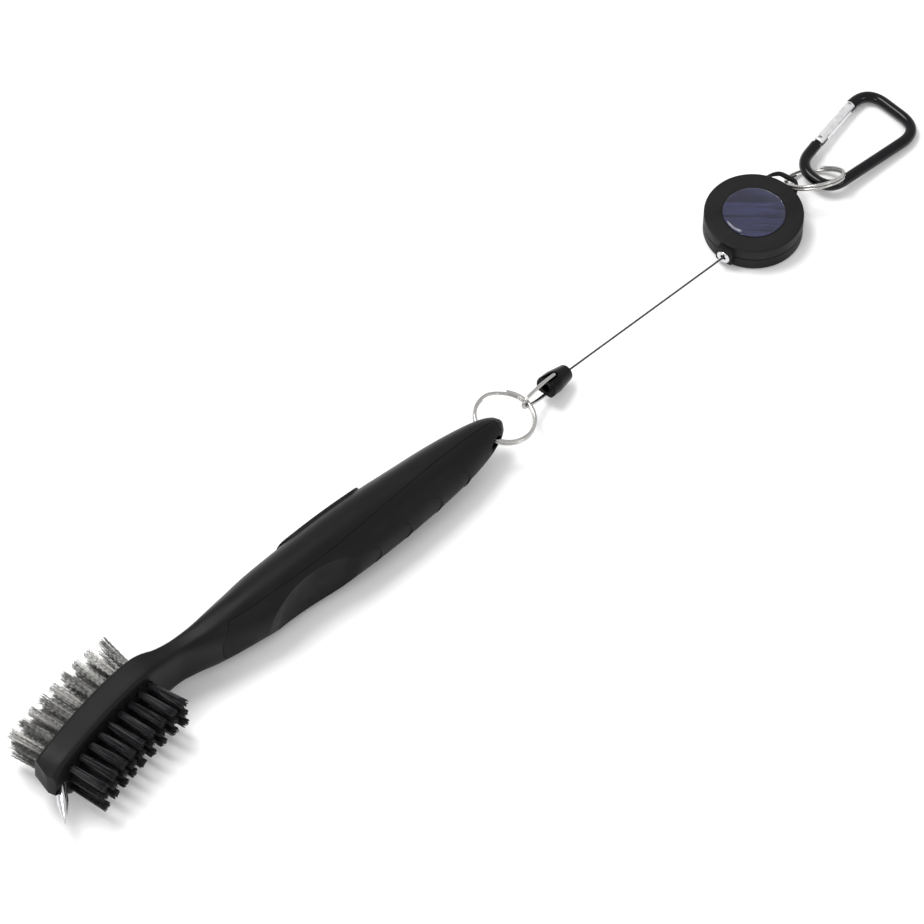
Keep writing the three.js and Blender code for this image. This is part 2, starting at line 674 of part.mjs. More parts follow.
function returnSpring() {
  const { from, to, turns, low, high, thick } = RETURN_SPRING;
  const steps = turns * 16;
  const rings = [];
  for (let i = 0; i <= steps; i++) {
    const t = i / steps;
    const angle = t * turns * 2 * Math.PI;
    const r = from + (to - from) * t;
    const out = V(Math.cos(angle), Math.sin(angle), 0);
    rings.push([[r - thick / 2, low], [r + thick / 2, low], [r + thick / 2, high],
      [r - thick / 2, high]].map(([s, z]) => out.clone().multiplyScalar(s).setZ(z)));
  }
  return loft(rings);
}

function labelDisc() {
  return turned([[0, LABEL.low], [LABEL.radius, LABEL.low], [LABEL.radius, LABEL.high],
    [0, LABEL.high]], 40);
}

function labelDome() {
  const { radius, rim, crown, base } = DOME;
  const profile = [[0, base], [radius, base], [radius, rim]];
  for (let i = 1; i <= 4; i++) {
    const t = i / 4 * Math.PI / 2;
    profile.push([i === 4 ? 0 : radius * Math.cos(t), rim + (crown - rim) * Math.sin(t)]);
  }
  return turned(profile, 36);
}

// ---- lug ring ------------------------------------------------------------------------------
// The ring leaves the lug slot along its heading. Its -y side is lifted over the carabiner
// rod and its +y side passes under it.
function lugRingFrame() {
  const { radius, heading, climb, tilt } = LUG_RING;
  const slot = LUG.wire.clone().applyMatrix4(reelFrame());
  return frame(slot.x, slot.y, slot.z, heading, climb)
    .multiply(new THREE.Matrix4().makeRotationX(-tilt * RAD))
    .multiply(new THREE.Matrix4().makeTranslation(radius, 0, 0));
}

// ---- carabiner -----------------------------------------------------------------------------
function clipFrame() {
  return frame(CLIP.x, 0, CLIP.z, 0, -CLIP.pitch);
}

function clipCentreLine() {
  const corners = CLIP_CORNERS.map(({ x, y, blend }) => ({ at: V(x, y, 0), blend }));
  const path = new THREE.CurvePath();
  let from = corners[0].at;
  for (let i = 1; i < corners.length - 1; i++) {
    const { at, blend } = corners[i];
    const before = at.clone().add(corners[i - 1].at.clone().sub(at).setLength(blend));
    const after = at.clone().add(corners[i + 1].at.clone().sub(at).setLength(blend));
    path.add(new THREE.LineCurve3(from, before));
    path.add(new THREE.QuadraticBezierCurve3(before, at, after));
    from = after;
  }
  return path;
}

// The gate frame has its origin on the hinge pin and x towards the latch, in the clip's plan.
function gateLine() {
  const start = CLIP_CORNERS[0];
  const end = CLIP_CORNERS[CLIP_CORNERS.length - 1];
  const yaw = Math.atan2(end.y - start.y, end.x - start.x);
  const length = Math.hypot(end.x - start.x, end.y - start.y);
  return { yaw, pivot: V(start.x + GATE.pivot * Math.cos(yaw), start.y + GATE.pivot * Math.sin(yaw), 0),
    nose: length - GATE.pivot };
}

function gateFrame() {
  const { yaw, pivot } = gateLine();
  return clipFrame().multiply(frame(pivot.x, pivot.y, 0, yaw / RAD));
}

function inClipPlan(body) {
  const { yaw, pivot } = gateLine();
  return body.transform(frame(pivot.x, pivot.y, 0, yaw / RAD).toArray());
}

function clipRod() {
  const { nose } = gateLine();
  const { tongue, tongueHeight, pivot, hook, pin, latch } = GATE;
  const rod = solid(tube(clipCentreLine(), CLIP.rod, 60, 10));
  const half = tongueHeight / 2;
  const hinge = box(-pivot - 0.8, 1.1, -half, half, -tongue / 2, tongue / 2)
    .subtract(solid(bar(V(0, 0, -2), V(0, 0, 2), pin + 0.08, 10)));
  const tip = box(nose - hook, nose + 1.2, -half, half, -tongue / 2, tongue / 2)
    .subtract(box(nose - hook + 0.7, nose - hook + 0.7 + 2 * latch + 0.4, -half - 1, latch + 0.2,
      -2, 2));
  return rod.add(inClipPlan(hinge)).add(inClipPlan(tip));
}

function gateBar() {
  const { nose } = gateLine();
  const { radius, slot, back, hook, pin, latch, bore } = GATE;
  const end = nose - 0.35;
  const body = solid(bar(V(-back, 0, 0), V(end, 0, 0), radius, 16));
  const hingeSlot = box(-back - 1, 2, -3, 3, -slot / 2, slot / 2);
  const noseSlot = box(nose - hook - 0.35, end + 1, -3, 3, -slot / 2, slot / 2);
  const well = solid(bar(V(1, 0, 0), V(GATE_SPRING.to + 0.6, 0, 0), bore, 12));
  const hingeHole = solid(bar(V(0, 0, -3), V(0, 0, 3), pin + 0.08, 10));
  const latchHole = solid(bar(V(nose - hook + 0.9 + latch, 0, -3), V(nose - hook + 0.9 + latch, 0, 3),
    latch + 0.08, 8));
  return body.subtract(hingeSlot).subtract(noseSlot).subtract(well).subtract(hingeHole)
    .subtract(latchHole);
}

function crossPin(x, radius) {
  return bar(V(x, 0, -GATE.radius + 0.25), V(x, 0, GATE.radius - 0.25), radius, 10);
}

function gateSpring() {
  const { radius, wire, turns, from, to } = GATE_SPRING;
  const steps = turns * 9;
  const points = Array.from({ length: steps + 1 }, (_, i) => {
    const t = i / steps * turns * 2 * Math.PI;
    return V(from + (to - from) * i / steps, radius * Math.cos(t), radius * Math.sin(t));
  });
  return tube(new THREE.CatmullRomCurve3(points), wire, steps, 5);
}

// ---- assembly ------------------------------------------------------------------------------
const object = new THREE.Group();
object.name = 'club_groove_brush';

function add(name, shape, material, matrix = new THREE.Matrix4()) {
  const body = shape instanceof THREE.BufferGeometry ? solid(shape) : shape;
  const geometry = geometryOf(body);
  geometry.applyMatrix4(matrix);
  geometry.translate(-MIDDLE.x, -MIDDLE.y, -MIDDLE.z);
  geometry.computeVertexNormals();
  const mesh = new THREE.Mesh(geometry, material);
  mesh.name = name;
  object.add(mesh);
}

const brush = brushPieces();
add('brush_body', brush.body, HARD_PLASTIC);
add('grip_insert', brush.grip, RUBBER);
add('thumb_pad', brush.pad, RUBBER);
add('groove_spike', spike(), BRIGHT_METAL);
for (const [level, up] of Object.entries(ROW_OFFSETS)) {
  add(`nylon_row_${level}`, tuftRow(up, NYLON), NYLON_BRISTLE);
  add(`steel_row_${level}`, tuftRow(up, STEEL), STEEL_WIRE);
}

add('tail_ring', splitRing(TAIL_RING), NICKEL, tailRingFrame());
add('plug_bail', bailWire(), NICKEL, bailFrame());
add('cord_plug', plugBody(), GLOSS_PLASTIC, bailFrame());
add('cord_knot', knot(), CORD_BLACK, bailFrame());
add('zip_cord', tube(cordPath(), CORD_RADIUS, 30, 8), CORD_BLACK);

const reel = reelFrame();
add('reel_back', reelBack(), REEL_PLASTIC, reel);
add('reel_front', reelFront(), REEL_PLASTIC, reel);
add('reel_eyelet', eyelet(), BRIGHT_METAL, reel);
add('label_disc', labelDisc(), LABEL_PRINT, reel);
add('label_dome', labelDome(), CLEAR_DOME, reel);
add('cord_spool', spool(), WHITE_PLASTIC, reel);
add('wound_cord', woundCord(), CORD_BLACK, reel);
add('return_spring', returnSpring(), SPRING_STEEL, reel);

add('lug_ring', splitRing(LUG_RING), NICKEL, lugRingFrame());
add('clip_frame', clipRod(), BLACK_ANODISED, clipFrame());
add('clip_gate', gateBar(), SILVER_ANODISED, gateFrame());
add('gate_pin', crossPin(0, GATE.pin), NICKEL, gateFrame());
add('latch_pin', crossPin(gateLine().nose - GATE.hook + 0.9 + GATE.latch, GATE.latch), NICKEL,
  gateFrame());
add('gate_spring', gateSpring(), SPRING_STEEL, gateFrame());

export default object;
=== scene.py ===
"""Looks of the club groove brush with its cord reel and carabiner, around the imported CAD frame.

Shapes are built in the layout of the CAD source: millimetres, X from the head tip, and moved
to the frame by LAYOUT at the end. Every piece replaces its CAD node and rides on its body.
"""

import math
import random

import bpy
from mathutils import Matrix, Vector


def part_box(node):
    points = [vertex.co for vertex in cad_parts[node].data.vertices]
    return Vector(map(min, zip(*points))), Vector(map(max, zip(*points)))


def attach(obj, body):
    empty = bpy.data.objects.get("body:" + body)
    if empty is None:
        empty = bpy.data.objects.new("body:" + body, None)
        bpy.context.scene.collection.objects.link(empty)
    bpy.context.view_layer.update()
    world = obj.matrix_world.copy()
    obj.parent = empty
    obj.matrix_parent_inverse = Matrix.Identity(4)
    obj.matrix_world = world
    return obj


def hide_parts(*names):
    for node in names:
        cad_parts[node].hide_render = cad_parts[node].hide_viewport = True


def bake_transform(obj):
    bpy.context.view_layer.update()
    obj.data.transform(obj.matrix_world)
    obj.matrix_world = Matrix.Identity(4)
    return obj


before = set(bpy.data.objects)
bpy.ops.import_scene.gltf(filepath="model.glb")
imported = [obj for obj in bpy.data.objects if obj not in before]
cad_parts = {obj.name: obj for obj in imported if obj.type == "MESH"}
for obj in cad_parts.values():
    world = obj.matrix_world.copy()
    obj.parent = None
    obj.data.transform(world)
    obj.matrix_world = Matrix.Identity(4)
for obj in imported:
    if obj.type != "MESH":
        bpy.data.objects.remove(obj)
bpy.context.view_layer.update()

# ---- numbers shared with the CAD source (millimetres, layout axes) ------------------------
MIDDLE = Vector((188.8, 1.1, 0))
LAYOUT = Matrix.Scale(0.001, 4) @ Matrix.Translation(-MIDDLE)
AXIS_Z = 11
GAP = 0.15

# Brush sections: x, sideways centre, half thickness (Y), half width (Z), squareness.
SECTIONS = [
    (-4, -4.1, 4.7, 7, 8), (0, -3.2, 4.7, 8.3, 8), (3, -2.4, 4.6, 9.4, 8),
    (7, -1.5, 4.6, 10, 9), (20, 1.3, 4.6, 10, 9), (32, 3.2, 4.6, 10, 9),
    (42, 4.1, 4.5, 10, 9), (46.5, 4, 4.2, 9.8, 8), (51, 3.4, 3.4, 9.1, 7),
    (57, 2.9, 3.1, 8.5, 6), (63, 2.2, 4.1, 8.6, 4), (70, 1.4, 5.8, 9.2, 3),
    (80, 0.9, 8, 10, 2.2), (90, 0.6, 9.4, 10.5, 2.1), (105, 0.2, 10.4, 10.9, 2),
    (122, -0.2, 10.9, 11, 2), (138, -0.7, 10.6, 10.8, 2), (150, -1.1, 9.9, 10.2, 2),
    (162, -1.3, 9, 9.4, 2), (172, -1.4, 7.9, 8.2, 2), (181, -1.3, 6.3, 6.6, 2),
    (186.5, -1.1, 4.7, 5, 2), (189.8, -0.9, 3, 3.2, 2), (191.4, -0.8, 1.2, 1.3, 2),
]
Y, A, B, N = 1, 2, 3, 4               # columns of SECTIONS

# Flat cuts that shape the head tip, all through one corner: yaw and pitch each cut faces.
TIP_CORNER = (-1.8, -5.9, 11.5)
TIP_CUTS = [(171, 5), (201, 9), (171, -40), (201, -40)]

TUFTS, FIRST_TUFT, TUFT_PITCH = 9, 6.1, 4.7
ROW_OFFSETS = {"low": -5.2, "mid": 0, "high": 5.2}
SOCKET_RADIUS, SOCKET_DEPTH = 1.3, 3
NYLON = {"side": -1, "length": 13, "root": 1.05, "face": 1.22, "tip": 1.7, "fan": 13}
STEEL = {"side": 1, "length": 12.8, "root": 1.0, "face": 1.12, "tip": 1.7, "fan": 0}

SKIN = 1.7
# Seam distance from the brush axis as a share of the half thickness: front, back, from, to.
SEAM_FRONT, SEAM_BACK, SEAM_FROM, SEAM_TO = 0.45, 0.07, 105, 185
GRIP_FRONT, GRIP_CRESCENT, GRIP_BACK = 70, 22, 188.2
SCALLOP_X, SCALLOP_HALF, SCALLOP_DEPTH, SCALLOP_LEAN = 100.5, 17.5, 3.6, 18
RIDGES = (128, 141, 154.5, 167.5)
RIDGE_HALF, RIDGE_BULGE, RIDGE_WIRE = 3.9, 2.3, 0.55
PAD_FROM, PAD_TO, PAD_HALF, PAD_PROUD, PAD_INLAY = 106.5, 141, 7, 0.9, 0.9
SPIKE_TIP = Vector((-5.3, -17.6, AXIS_Z))
SPIKE_DIRECTION = Vector((0.583, 0.812, 0)).normalized()
SPIKE_RADIUS, SPIKE_CONE, SPIKE_LENGTH = 1.75, 8, 15.6
TAIL_X, TAIL_RADIUS, TAIL_FLARE = 184.9, 2.5, 4.7

TAIL_RING = {"radius": 9.7, "wide": 1.2, "thick": 1.0, "rise": 1.1, "jog": 50}
TAIL_NEAR, TAIL_DROP, TAIL_ROLL = (184.45, -0.16, 11.35), 6, 7
LUG_RING = {"radius": 9.7, "wide": 1.15, "thick": 0.9, "rise": 1.0, "jog": 70}
LUG_HEADING, LUG_CLIMB, LUG_TILT = -30, 2.3, 35.2
BAIL_YAW, BAIL_DROP, WIRE, BOW, PIN, SPREAD = 6.8, 13.6, 0.6, 2.3, 14, 3.45
PLUG_FROM, PLUG_TO, PLUG_BIG, PLUG_SMALL, PLUG_BORE = 10, 20.8, 3.8, 2.8, 1.6
PLUG_THROAT, PLUG_NECK, PLUG_TURN = 0.65, 17, 22
CORD_RADIUS = 0.35

REEL_X, REEL_Y, REEL_YAW, REEL_RADIUS, REEL_HEIGHT = 311.5, 3.6, 11.5, 16.4, 9.2
REEL_SEAM, REEL_WALL, REEL_EDGE, REEL_FLOOR, REEL_CEILING = 4.6, 1.5, 0.6, 1.6, 7.6
BOSS_REACH, BOSS_HALF, BOSS_LOW, BOSS_HIGH = 17.9, 3, 1.7, 7.5
EYELET_Z, EYELET_BORE, EYELET_TUBE, EYELET_FLANGE, EYELET_THICK = 4.5, 0.95, 1.6, 2.35, 0.6
LUG_LOW, LUG_HIGH, LUG_SLOT_IN, LUG_SLOT_OUT, LUG_RIM = 5.4, 6.6, 16, 20.4, 21.6
LUG_SLOT_HALF, LUG_HALF, LUG_WIRE = 4.6, 6.2, (18.2, -1.2, 5.88)
DOME_RADIUS, DOME_RIM, DOME_CROWN, DOME_BASE = 10.4, 9.2, 10.3, 8.75
LABEL_RADIUS, LABEL_LOW, LABEL_HIGH = 10.2, 8.25, 8.65
STREAK_YAW = -44                      # direction of the brushed streaks in the label's print

CLIP_X, CLIP_Z, CLIP_PITCH, ROD = 338.9, 4.38, 3.3, 1.9
CLIP_CORNERS = [(11.3, 12.1, 0), (0, 9.4, 7.2), (0, -4.6, 6.7), (42.3, -6.8, 9),
                (42.3, 18, 9), (33.4, 16.6, 0)]
GATE_RADIUS, GATE_SLOT, TONGUE, TONGUE_HEIGHT = 1.95, 1.7, 1.3, 2.3
GATE_PIVOT, GATE_BACK, GATE_PIN, LATCH_PIN, GATE_HOOK = 2.6, 1.5, 0.6, 0.5, 2.7


# ---- camera and studio (degrees, metres, watts) ---------------------------------------------
VIEW_AZIMUTH, VIEW_ELEVATION, VIEW_DISTANCE = -44, 54, 1.5
VIEW_TARGET = (177.502, 2.108, 0)     # layout millimetres
SENSOR_WIDTH, LENS, CLIP_START = 36, 184.7, 0.05
SKY_STRENGTH = 0.82
# Area lights: name, azimuth, elevation, distance, size, power.
LIGHTS = [
    ("key", 190, 64, 1.4, (0.6, 0.6), 13),
    ("fill", -85, 32, 1.6, (0.4, 0.4), 4),
    ("rim", 20, 30, 1.6, (0.5, 0.3), 3),
]
FLOOR_HALF, FLOOR_DROP = 3.0, 0.0003


# ---- placing --------------------------------------------------------------------------------
def place(x, y, z, yaw=0, pitch=0):
    turn = Matrix.Rotation(math.radians(yaw), 4, "Z")
    return Matrix.Translation((x, y, z)) @ turn @ Matrix.Rotation(math.radians(-pitch), 4, "Y")


def blend_of(values, t):
    """Cubic Hermite through two values with their slopes."""
    p, q, slope_p, slope_q, span = values
    return ((2 * t ** 3 - 3 * t ** 2 + 1) * p + (t ** 3 - 2 * t ** 2 + t) * span * slope_p
            + (3 * t ** 2 - 2 * t ** 3) * q + (t ** 3 - t ** 2) * span * slope_q)


def section(x, column):
    """Smooth value of one section column at distance x."""
    last = len(SECTIONS) - 1

    def slope(i):
        p, q = SECTIONS[max(i - 1, 0)], SECTIONS[min(i + 1, last)]
        return (q[column] - p[column]) / (q[0] - p[0])

    i = 0
    while i < last - 1 and x > SECTIONS[i + 1][0]:
        i += 1
    p, q = SECTIONS[i], SECTIONS[i + 1]
    span = q[0] - p[0]
    t = min(max((x - p[0]) / span, 0), 1)
    return blend_of((p[column], q[column], slope(i), slope(i + 1), span), t)


def brush_frame(x):
    """Local axes of the brush at x: x along it, y towards the steel side, z up."""
    yaw = math.degrees(math.atan(section(x + 0.5, Y) - section(x - 0.5, Y)))
    return place(x, section(x, Y), AXIS_Z, yaw)


def tail_ring_frame():
    near = place(*TAIL_NEAR, 0, -TAIL_DROP) @ Matrix.Rotation(math.radians(TAIL_ROLL), 4, "X")
    return near @ Matrix.Translation((TAIL_RING["radius"], 0, 0))


def bail_frame():
    far = tail_ring_frame() @ Vector((TAIL_RING["radius"], 0, 0))
    return place(*far, BAIL_YAW, -BAIL_DROP)


def reel_frame():
    return place(REEL_X, REEL_Y, 0, REEL_YAW)


def lug_ring_frame():
    slot = reel_frame() @ Vector(LUG_WIRE)
    tilt = Matrix.Rotation(math.radians(-LUG_TILT), 4, "X")
    return (place(*slot, LUG_HEADING, LUG_CLIMB) @ tilt
            @ Matrix.Translation((LUG_RING["radius"], 0, 0)))


def clip_frame():
    return place(CLIP_X, 0, CLIP_Z, 0, -CLIP_PITCH)


def gate_frame():
    (x0, y0, _), (x1, y1, _) = CLIP_CORNERS[0], CLIP_CORNERS[-1]
    yaw = math.atan2(y1 - y0, x1 - x0)
    pivot = Vector((x0 + GATE_PIVOT * math.cos(yaw), y0 + GATE_PIVOT * math.sin(yaw), 0))
    return clip_frame() @ place(*pivot, math.degrees(yaw))


def gate_nose():
    (x0, y0, _), (x1, y1, _) = CLIP_CORNERS[0], CLIP_CORNERS[-1]
    return math.hypot(x1 - x0, y1 - y0) - GATE_PIVOT


# ---- mesh building --------------------------------------------------------------------------
def mesh_of(points, faces):
    mesh = bpy.data.meshes.new("shape")
    mesh.from_pydata([tuple(p) for p in points], [], faces)
    mesh.update()
    return mesh


def facing_out(mesh):
    volume = sum(f.area * f.normal.dot(f.center) for f in mesh.polygons)
    if volume < 0:
        mesh.flip_normals()
    return mesh


def loft(rings):
    """Closed body through rings that have the same number of points."""
    sides = len(rings[0])
    points = [p for ring in rings for p in ring]
    faces = []
    for i in range(len(rings) - 1):
        for j in range(sides):
            a, b = i * sides + j, i * sides + (j + 1) % sides
            faces.append((a, b, b + sides, a + sides))
    last = (len(rings) - 1) * sides
    faces.append(tuple(range(sides))[::-1])
    faces.append(tuple(range(last, last + sides)))
    return facing_out(mesh_of(points, faces))


def circle(centre, u, v, radius, sides):
    steps = [(k + 0.5) * 2 * math.pi / sides for k in range(sides)]
    return [centre + u * (radius * math.cos(t)) + v * (radius * math.sin(t)) for t in steps]


def across(direction):
    """Two unit directions square to the given one."""
    helper = Vector((0, 0, 1)) if abs(direction.z) < 0.9 else Vector((1, 0, 0))
    u = helper.cross(direction).normalized()
    return u, direction.cross(u)


def bar(start, end, radius, sides=48, end_radius=None):
    u, v = across((end - start).normalized())
    far = radius if end_radius is None else end_radius
    return loft([circle(start, u, v, radius, sides), circle(end, u, v, far, sides)])


def tube(path, radii, sides):
    """Round tube along points; its frame is carried along without twisting."""
    last = len(path) - 1
    u, v = across((path[1] - path[0]).normalized())
    rings = []
    for i, point in enumerate(path):
        direction = (path[min(i + 1, last)] - path[max(i - 1, 0)]).normalized()
        u = (u - direction * u.dot(direction)).normalized()
        v = direction.cross(u)
        rings.append(circle(point, u, v, radii[i], sides))
    return loft(rings)


def turned(profile, sides=128):
    """Body of revolution about Z through (radius, height) pairs, closed at the axis or around."""
    points, faces, rows = [], [], []
    for radius, height in profile:
        if radius == 0:
            rows.append([len(points)] * sides)
            points.append((0, 0, height))
            continue
        rows.append(list(range(len(points), len(points) + sides)))
        for k in range(sides):
            t = 2 * math.pi * k / sides
            points.append((radius * math.cos(t), radius * math.sin(t), height))
    for row, after in zip(rows, rows[1:] + rows[:1]):
        for k in range(sides):
            n = (k + 1) % sides
            corners = dict.fromkeys((row[k], row[n], after[n], after[k]))
            if len(corners) > 2:
                faces.append(tuple(corners))
    return facing_out(mesh_of(points, faces))


def box(x0, x1, y0, y1, z0, z1):
    rings = [[Vector((x, y0, z0)), Vector((x, y1, z0)), Vector((x, y1, z1)), Vector((x, y0, z1))]
             for x in (x0, x1)]
    return loft(rings)


def prism(outline, z0, z1):
    return loft([[Vector((x, y, z)) for x, y in outline] for z in (z0, z1)])


def moved(mesh, matrix):
    mesh.transform(matrix)
    return mesh


def merged(meshes):
    """One mesh of several separate bodies."""
    points, faces = [], []
    for mesh in meshes:
        base = len(points)
        points += [v.co.copy() for v in mesh.vertices]
        faces += [tuple(base + i for i in f.vertices) for f in mesh.polygons]
    return mesh_of(points, faces)


def boolean(kind, mesh, tools):
    """Joins or cuts mesh with each tool in turn: kind is DIFFERENCE, UNION or INTERSECT."""
    target = bpy.data.objects.new("target", mesh)
    bpy.context.scene.collection.objects.link(target)
    helpers = []
    for tool in tools:
        helper = bpy.data.objects.new("tool", tool)
        bpy.context.scene.collection.objects.link(helper)
        helpers.append(helper)
        cut = target.modifiers.new("cut", "BOOLEAN")
        cut.operation = kind
        cut.solver = "MANIFOLD"
        cut.object = helper
    bpy.context.view_layer.update()
    shape = target.evaluated_get(bpy.context.evaluated_depsgraph_get())
    result = bpy.data.meshes.new_from_object(shape)
    for thing in [target, *helpers]:
        bpy.data.objects.remove(thing)
    return result


def show(name, mesh, body, material, replaces=(), matrix=None, angle=32):
    """Turns a mesh in layout millimetres into a finished piece of the scene."""
    mesh.transform(LAYOUT @ matrix if matrix is not None else LAYOUT)
    mesh.shade_smooth()
    mesh.set_sharp_from_angle(angle=math.radians(angle))
    mesh.materials.clear()
    mesh.materials.append(material)
    piece = bpy.data.objects.new(name, mesh)
    piece.data.name = name
    bpy.context.scene.collection.objects.link(piece)
    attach(piece, body)
    if replaces:
        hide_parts(*replaces)
    return piece


# ---- materials ------------------------------------------------------------------------------
def new_material(name, colour, roughness, metallic=0.0, **sockets):
    """A Principled material; returns it with its node tree, shader and object coordinates."""
    material = bpy.data.materials.new(name)
    material.use_nodes = True
    tree = material.node_tree
    shader = tree.nodes["Principled BSDF"]
    shader.inputs["Base Color"].default_value = (*colour, 1)
    shader.inputs["Roughness"].default_value = roughness
    shader.inputs["Metallic"].default_value = metallic
    for socket, value in sockets.items():
        shader.inputs[socket.replace("_", " ")].default_value = value
    place_node = tree.nodes.new("ShaderNodeTexCoord")
    return material, tree, shader, place_node.outputs["Object"]


def stretched(tree, coordinates, scale, yaw=0):
    """Coordinates that make a texture longer by scale, along axes turned by yaw about Z."""
    node = tree.nodes.new("ShaderNodeMapping")
    node.vector_type = "TEXTURE"
    node.inputs["Scale"].default_value = scale
    node.inputs["Rotation"].default_value = (0, 0, math.radians(yaw))
    tree.links.new(coordinates, node.inputs["Vector"])
    return node.outputs["Vector"]


def noise(tree, coordinates, scale, detail=3.0, roughness=0.5):
    node = tree.nodes.new("ShaderNodeTexNoise")
    node.inputs["Scale"].default_value = scale
    node.inputs["Detail"].default_value = detail
    node.inputs["Roughness"].default_value = roughness
    tree.links.new(coordinates, node.inputs["Vector"])
    return node.outputs["Fac"]


def ramp(tree, value, low, high, start=0.3, end=0.7):
    """Maps a 0..1 value onto a range between two colours or two grey levels."""
    node = tree.nodes.new("ShaderNodeValToRGB")
    node.color_ramp.elements[0].position = start
    node.color_ramp.elements[1].position = end
    grey = [(v, v, v) if isinstance(v, (int, float)) else v for v in (low, high)]
    node.color_ramp.elements[0].color = (*grey[0], 1)
    node.color_ramp.elements[1].color = (*grey[1], 1)
    tree.links.new(value, node.inputs["Fac"])
    return node.outputs["Color"]


def bump(tree, shader, height, distance, strength=1.0, edge=0.0):
    """Surface relief in metres; edge is the radius at which hard edges look rounded."""
    node = tree.nodes.new("ShaderNodeBump")
    node.inputs["Distance"].default_value = distance
    node.inputs["Strength"].default_value = strength
    tree.links.new(height, node.inputs["Height"])
    if edge:
        rounded = tree.nodes.new("ShaderNodeBevel")
        rounded.samples = 4
        rounded.inputs["Radius"].default_value = edge
        tree.links.new(rounded.outputs["Normal"], node.inputs["Normal"])
    tree.links.new(node.outputs["Normal"], shader.inputs["Normal"])


def moulded_plastic(name, grey, roughness, grain, relief, edge):
    """Black moulded plastic: fine grain, faint flow marks and worn shinier patches."""
    material, tree, shader, at = new_material(name, (grey, grey, grey * 1.06), roughness,
                                              Specular_IOR_Level=0.1)
    blotches = noise(tree, at, 90, 5, 0.6)
    tree.links.new(ramp(tree, blotches, roughness * 0.82, roughness * 1.2),
                   shader.inputs["Roughness"])
    flow = noise(tree, stretched(tree, at, (4, 1, 1)), 160, 3)
    tree.links.new(ramp(tree, flow, (grey * 0.8,) * 3, (grey * 1.25, grey * 1.25, grey * 1.3)),
                   shader.inputs["Base Color"])
    bump(tree, shader, noise(tree, at, grain, 2), relief, edge=edge)
    return material


def drawn_metal(name, colour, roughness, direction=(1, 1, 1), edge=0.0):
    """Bare or plated metal with fine drawing lines and uneven polish."""
    material, tree, shader, at = new_material(name, colour, roughness, 1.0)
    lines = noise(tree, stretched(tree, at, direction), 2600, 2)
    tree.links.new(ramp(tree, lines, roughness * 0.7, roughness * 1.5), shader.inputs["Roughness"])
    dull = noise(tree, at, 260, 4)
    dark = tuple(c * 0.82 for c in colour)
    tree.links.new(ramp(tree, dull, dark, colour), shader.inputs["Base Color"])
    bump(tree, shader, lines, 0.000006, edge=edge)
    return material


def bristle_nylon():
    material, tree, shader, at = new_material("bristle_nylon", (0.008, 0.008, 0.009), 0.3,
                                              Specular_IOR_Level=0.22)
    shade = noise(tree, at, 900, 2)
    tree.links.new(ramp(tree, shade, 0.24, 0.4), shader.inputs["Roughness"])
    tree.links.new(ramp(tree, shade, (0.004, 0.004, 0.005), (0.012, 0.012, 0.014)),
                   shader.inputs["Base Color"])
    bump(tree, shader, noise(tree, at, 6000, 1), 0.00001)
    return material


def bristle_steel():
    material, tree, shader, at = new_material("bristle_steel", (0.5, 0.48, 0.44), 0.3, 1.0)
    shade = noise(tree, at, 700, 3)
    tree.links.new(ramp(tree, shade, 0.2, 0.42), shader.inputs["Roughness"])
    tree.links.new(ramp(tree, shade, (0.09, 0.09, 0.086), (0.2, 0.197, 0.19)),
                   shader.inputs["Base Color"])
    bump(tree, shader, noise(tree, at, 7000, 1), 0.00001)
    return material


def cord_braid():
    """Thin dark cord whose plaited strands cross it diagonally."""
    material, tree, shader, at = new_material("cord_braid", (0.02, 0.02, 0.024), 0.6,
                                              Sheen_Weight=0.3)
    wave = tree.nodes.new("ShaderNodeTexWave")
    wave.wave_type = "BANDS"
    wave.bands_direction = "DIAGONAL"
    wave.inputs["Scale"].default_value = 900
    wave.inputs["Distortion"].default_value = 1.5
    tree.links.new(at, wave.inputs["Vector"])
    tree.links.new(ramp(tree, wave.outputs["Fac"], (0.008, 0.008, 0.01), (0.04, 0.04, 0.045)),
                   shader.inputs["Base Color"])
    bump(tree, shader, wave.outputs["Fac"], 0.00008)
    return material


def label_print():
    """Dark blue-violet print with brushed streaks, and no lettering."""
    material, tree, shader, at = new_material("label_print", (0.05, 0.05, 0.12), 0.5,
                                              Specular_IOR_Level=0.05)
    streaks = noise(tree, stretched(tree, at, (11, 1, 1), STREAK_YAW), 330, 4, 0.7)
    fine = noise(tree, stretched(tree, at, (20, 1, 1), STREAK_YAW), 2300, 2)
    mix = tree.nodes.new("ShaderNodeMix")
    mix.data_type = "RGBA"
    mix.inputs["Factor"].default_value = 0.2
    tree.links.new(ramp(tree, streaks, (0.003, 0.003, 0.014), (0.042, 0.042, 0.12), 0.4, 0.65),
                   mix.inputs["A"])
    tree.links.new(ramp(tree, fine, (0.008, 0.008, 0.025), (0.09, 0.09, 0.18)), mix.inputs["B"])
    tree.links.new(mix.outputs["Result"], shader.inputs["Base Color"])
    bump(tree, shader, fine, 0.00002)
    return material


def clear_resin():
    material, tree, shader, at = new_material("clear_resin", (0.93, 0.94, 1.0), 0.02, 0.0,
                                              Transmission_Weight=1.0, IOR=1.35)
    ripple = noise(tree, at, 140, 2)
    tree.links.new(ramp(tree, ripple, 0.01, 0.04), shader.inputs["Roughness"])
    bump(tree, shader, ripple, 0.000004)
    return material


def anodised(name, colour, roughness, metallic):
    """Anodised aluminium: a thin glossy coat over fine drawing marks and light scuffs."""
    material, tree, shader, at = new_material(name, colour, roughness, metallic,
                                              Specular_IOR_Level=0.2,
                                              Coat_Weight=0.12, Coat_Roughness=0.06)
    scuffs = noise(tree, at, 420, 5, 0.65)
    tree.links.new(ramp(tree, scuffs, roughness * 0.75, roughness * 1.5),
                   shader.inputs["Roughness"])
    pale = tuple(min(1, c * 1.25) for c in colour)
    tree.links.new(ramp(tree, scuffs, colour, pale), shader.inputs["Base Color"])
    bump(tree, shader, noise(tree, at, 3800, 2), 0.000008, edge=0.0002)
    return material


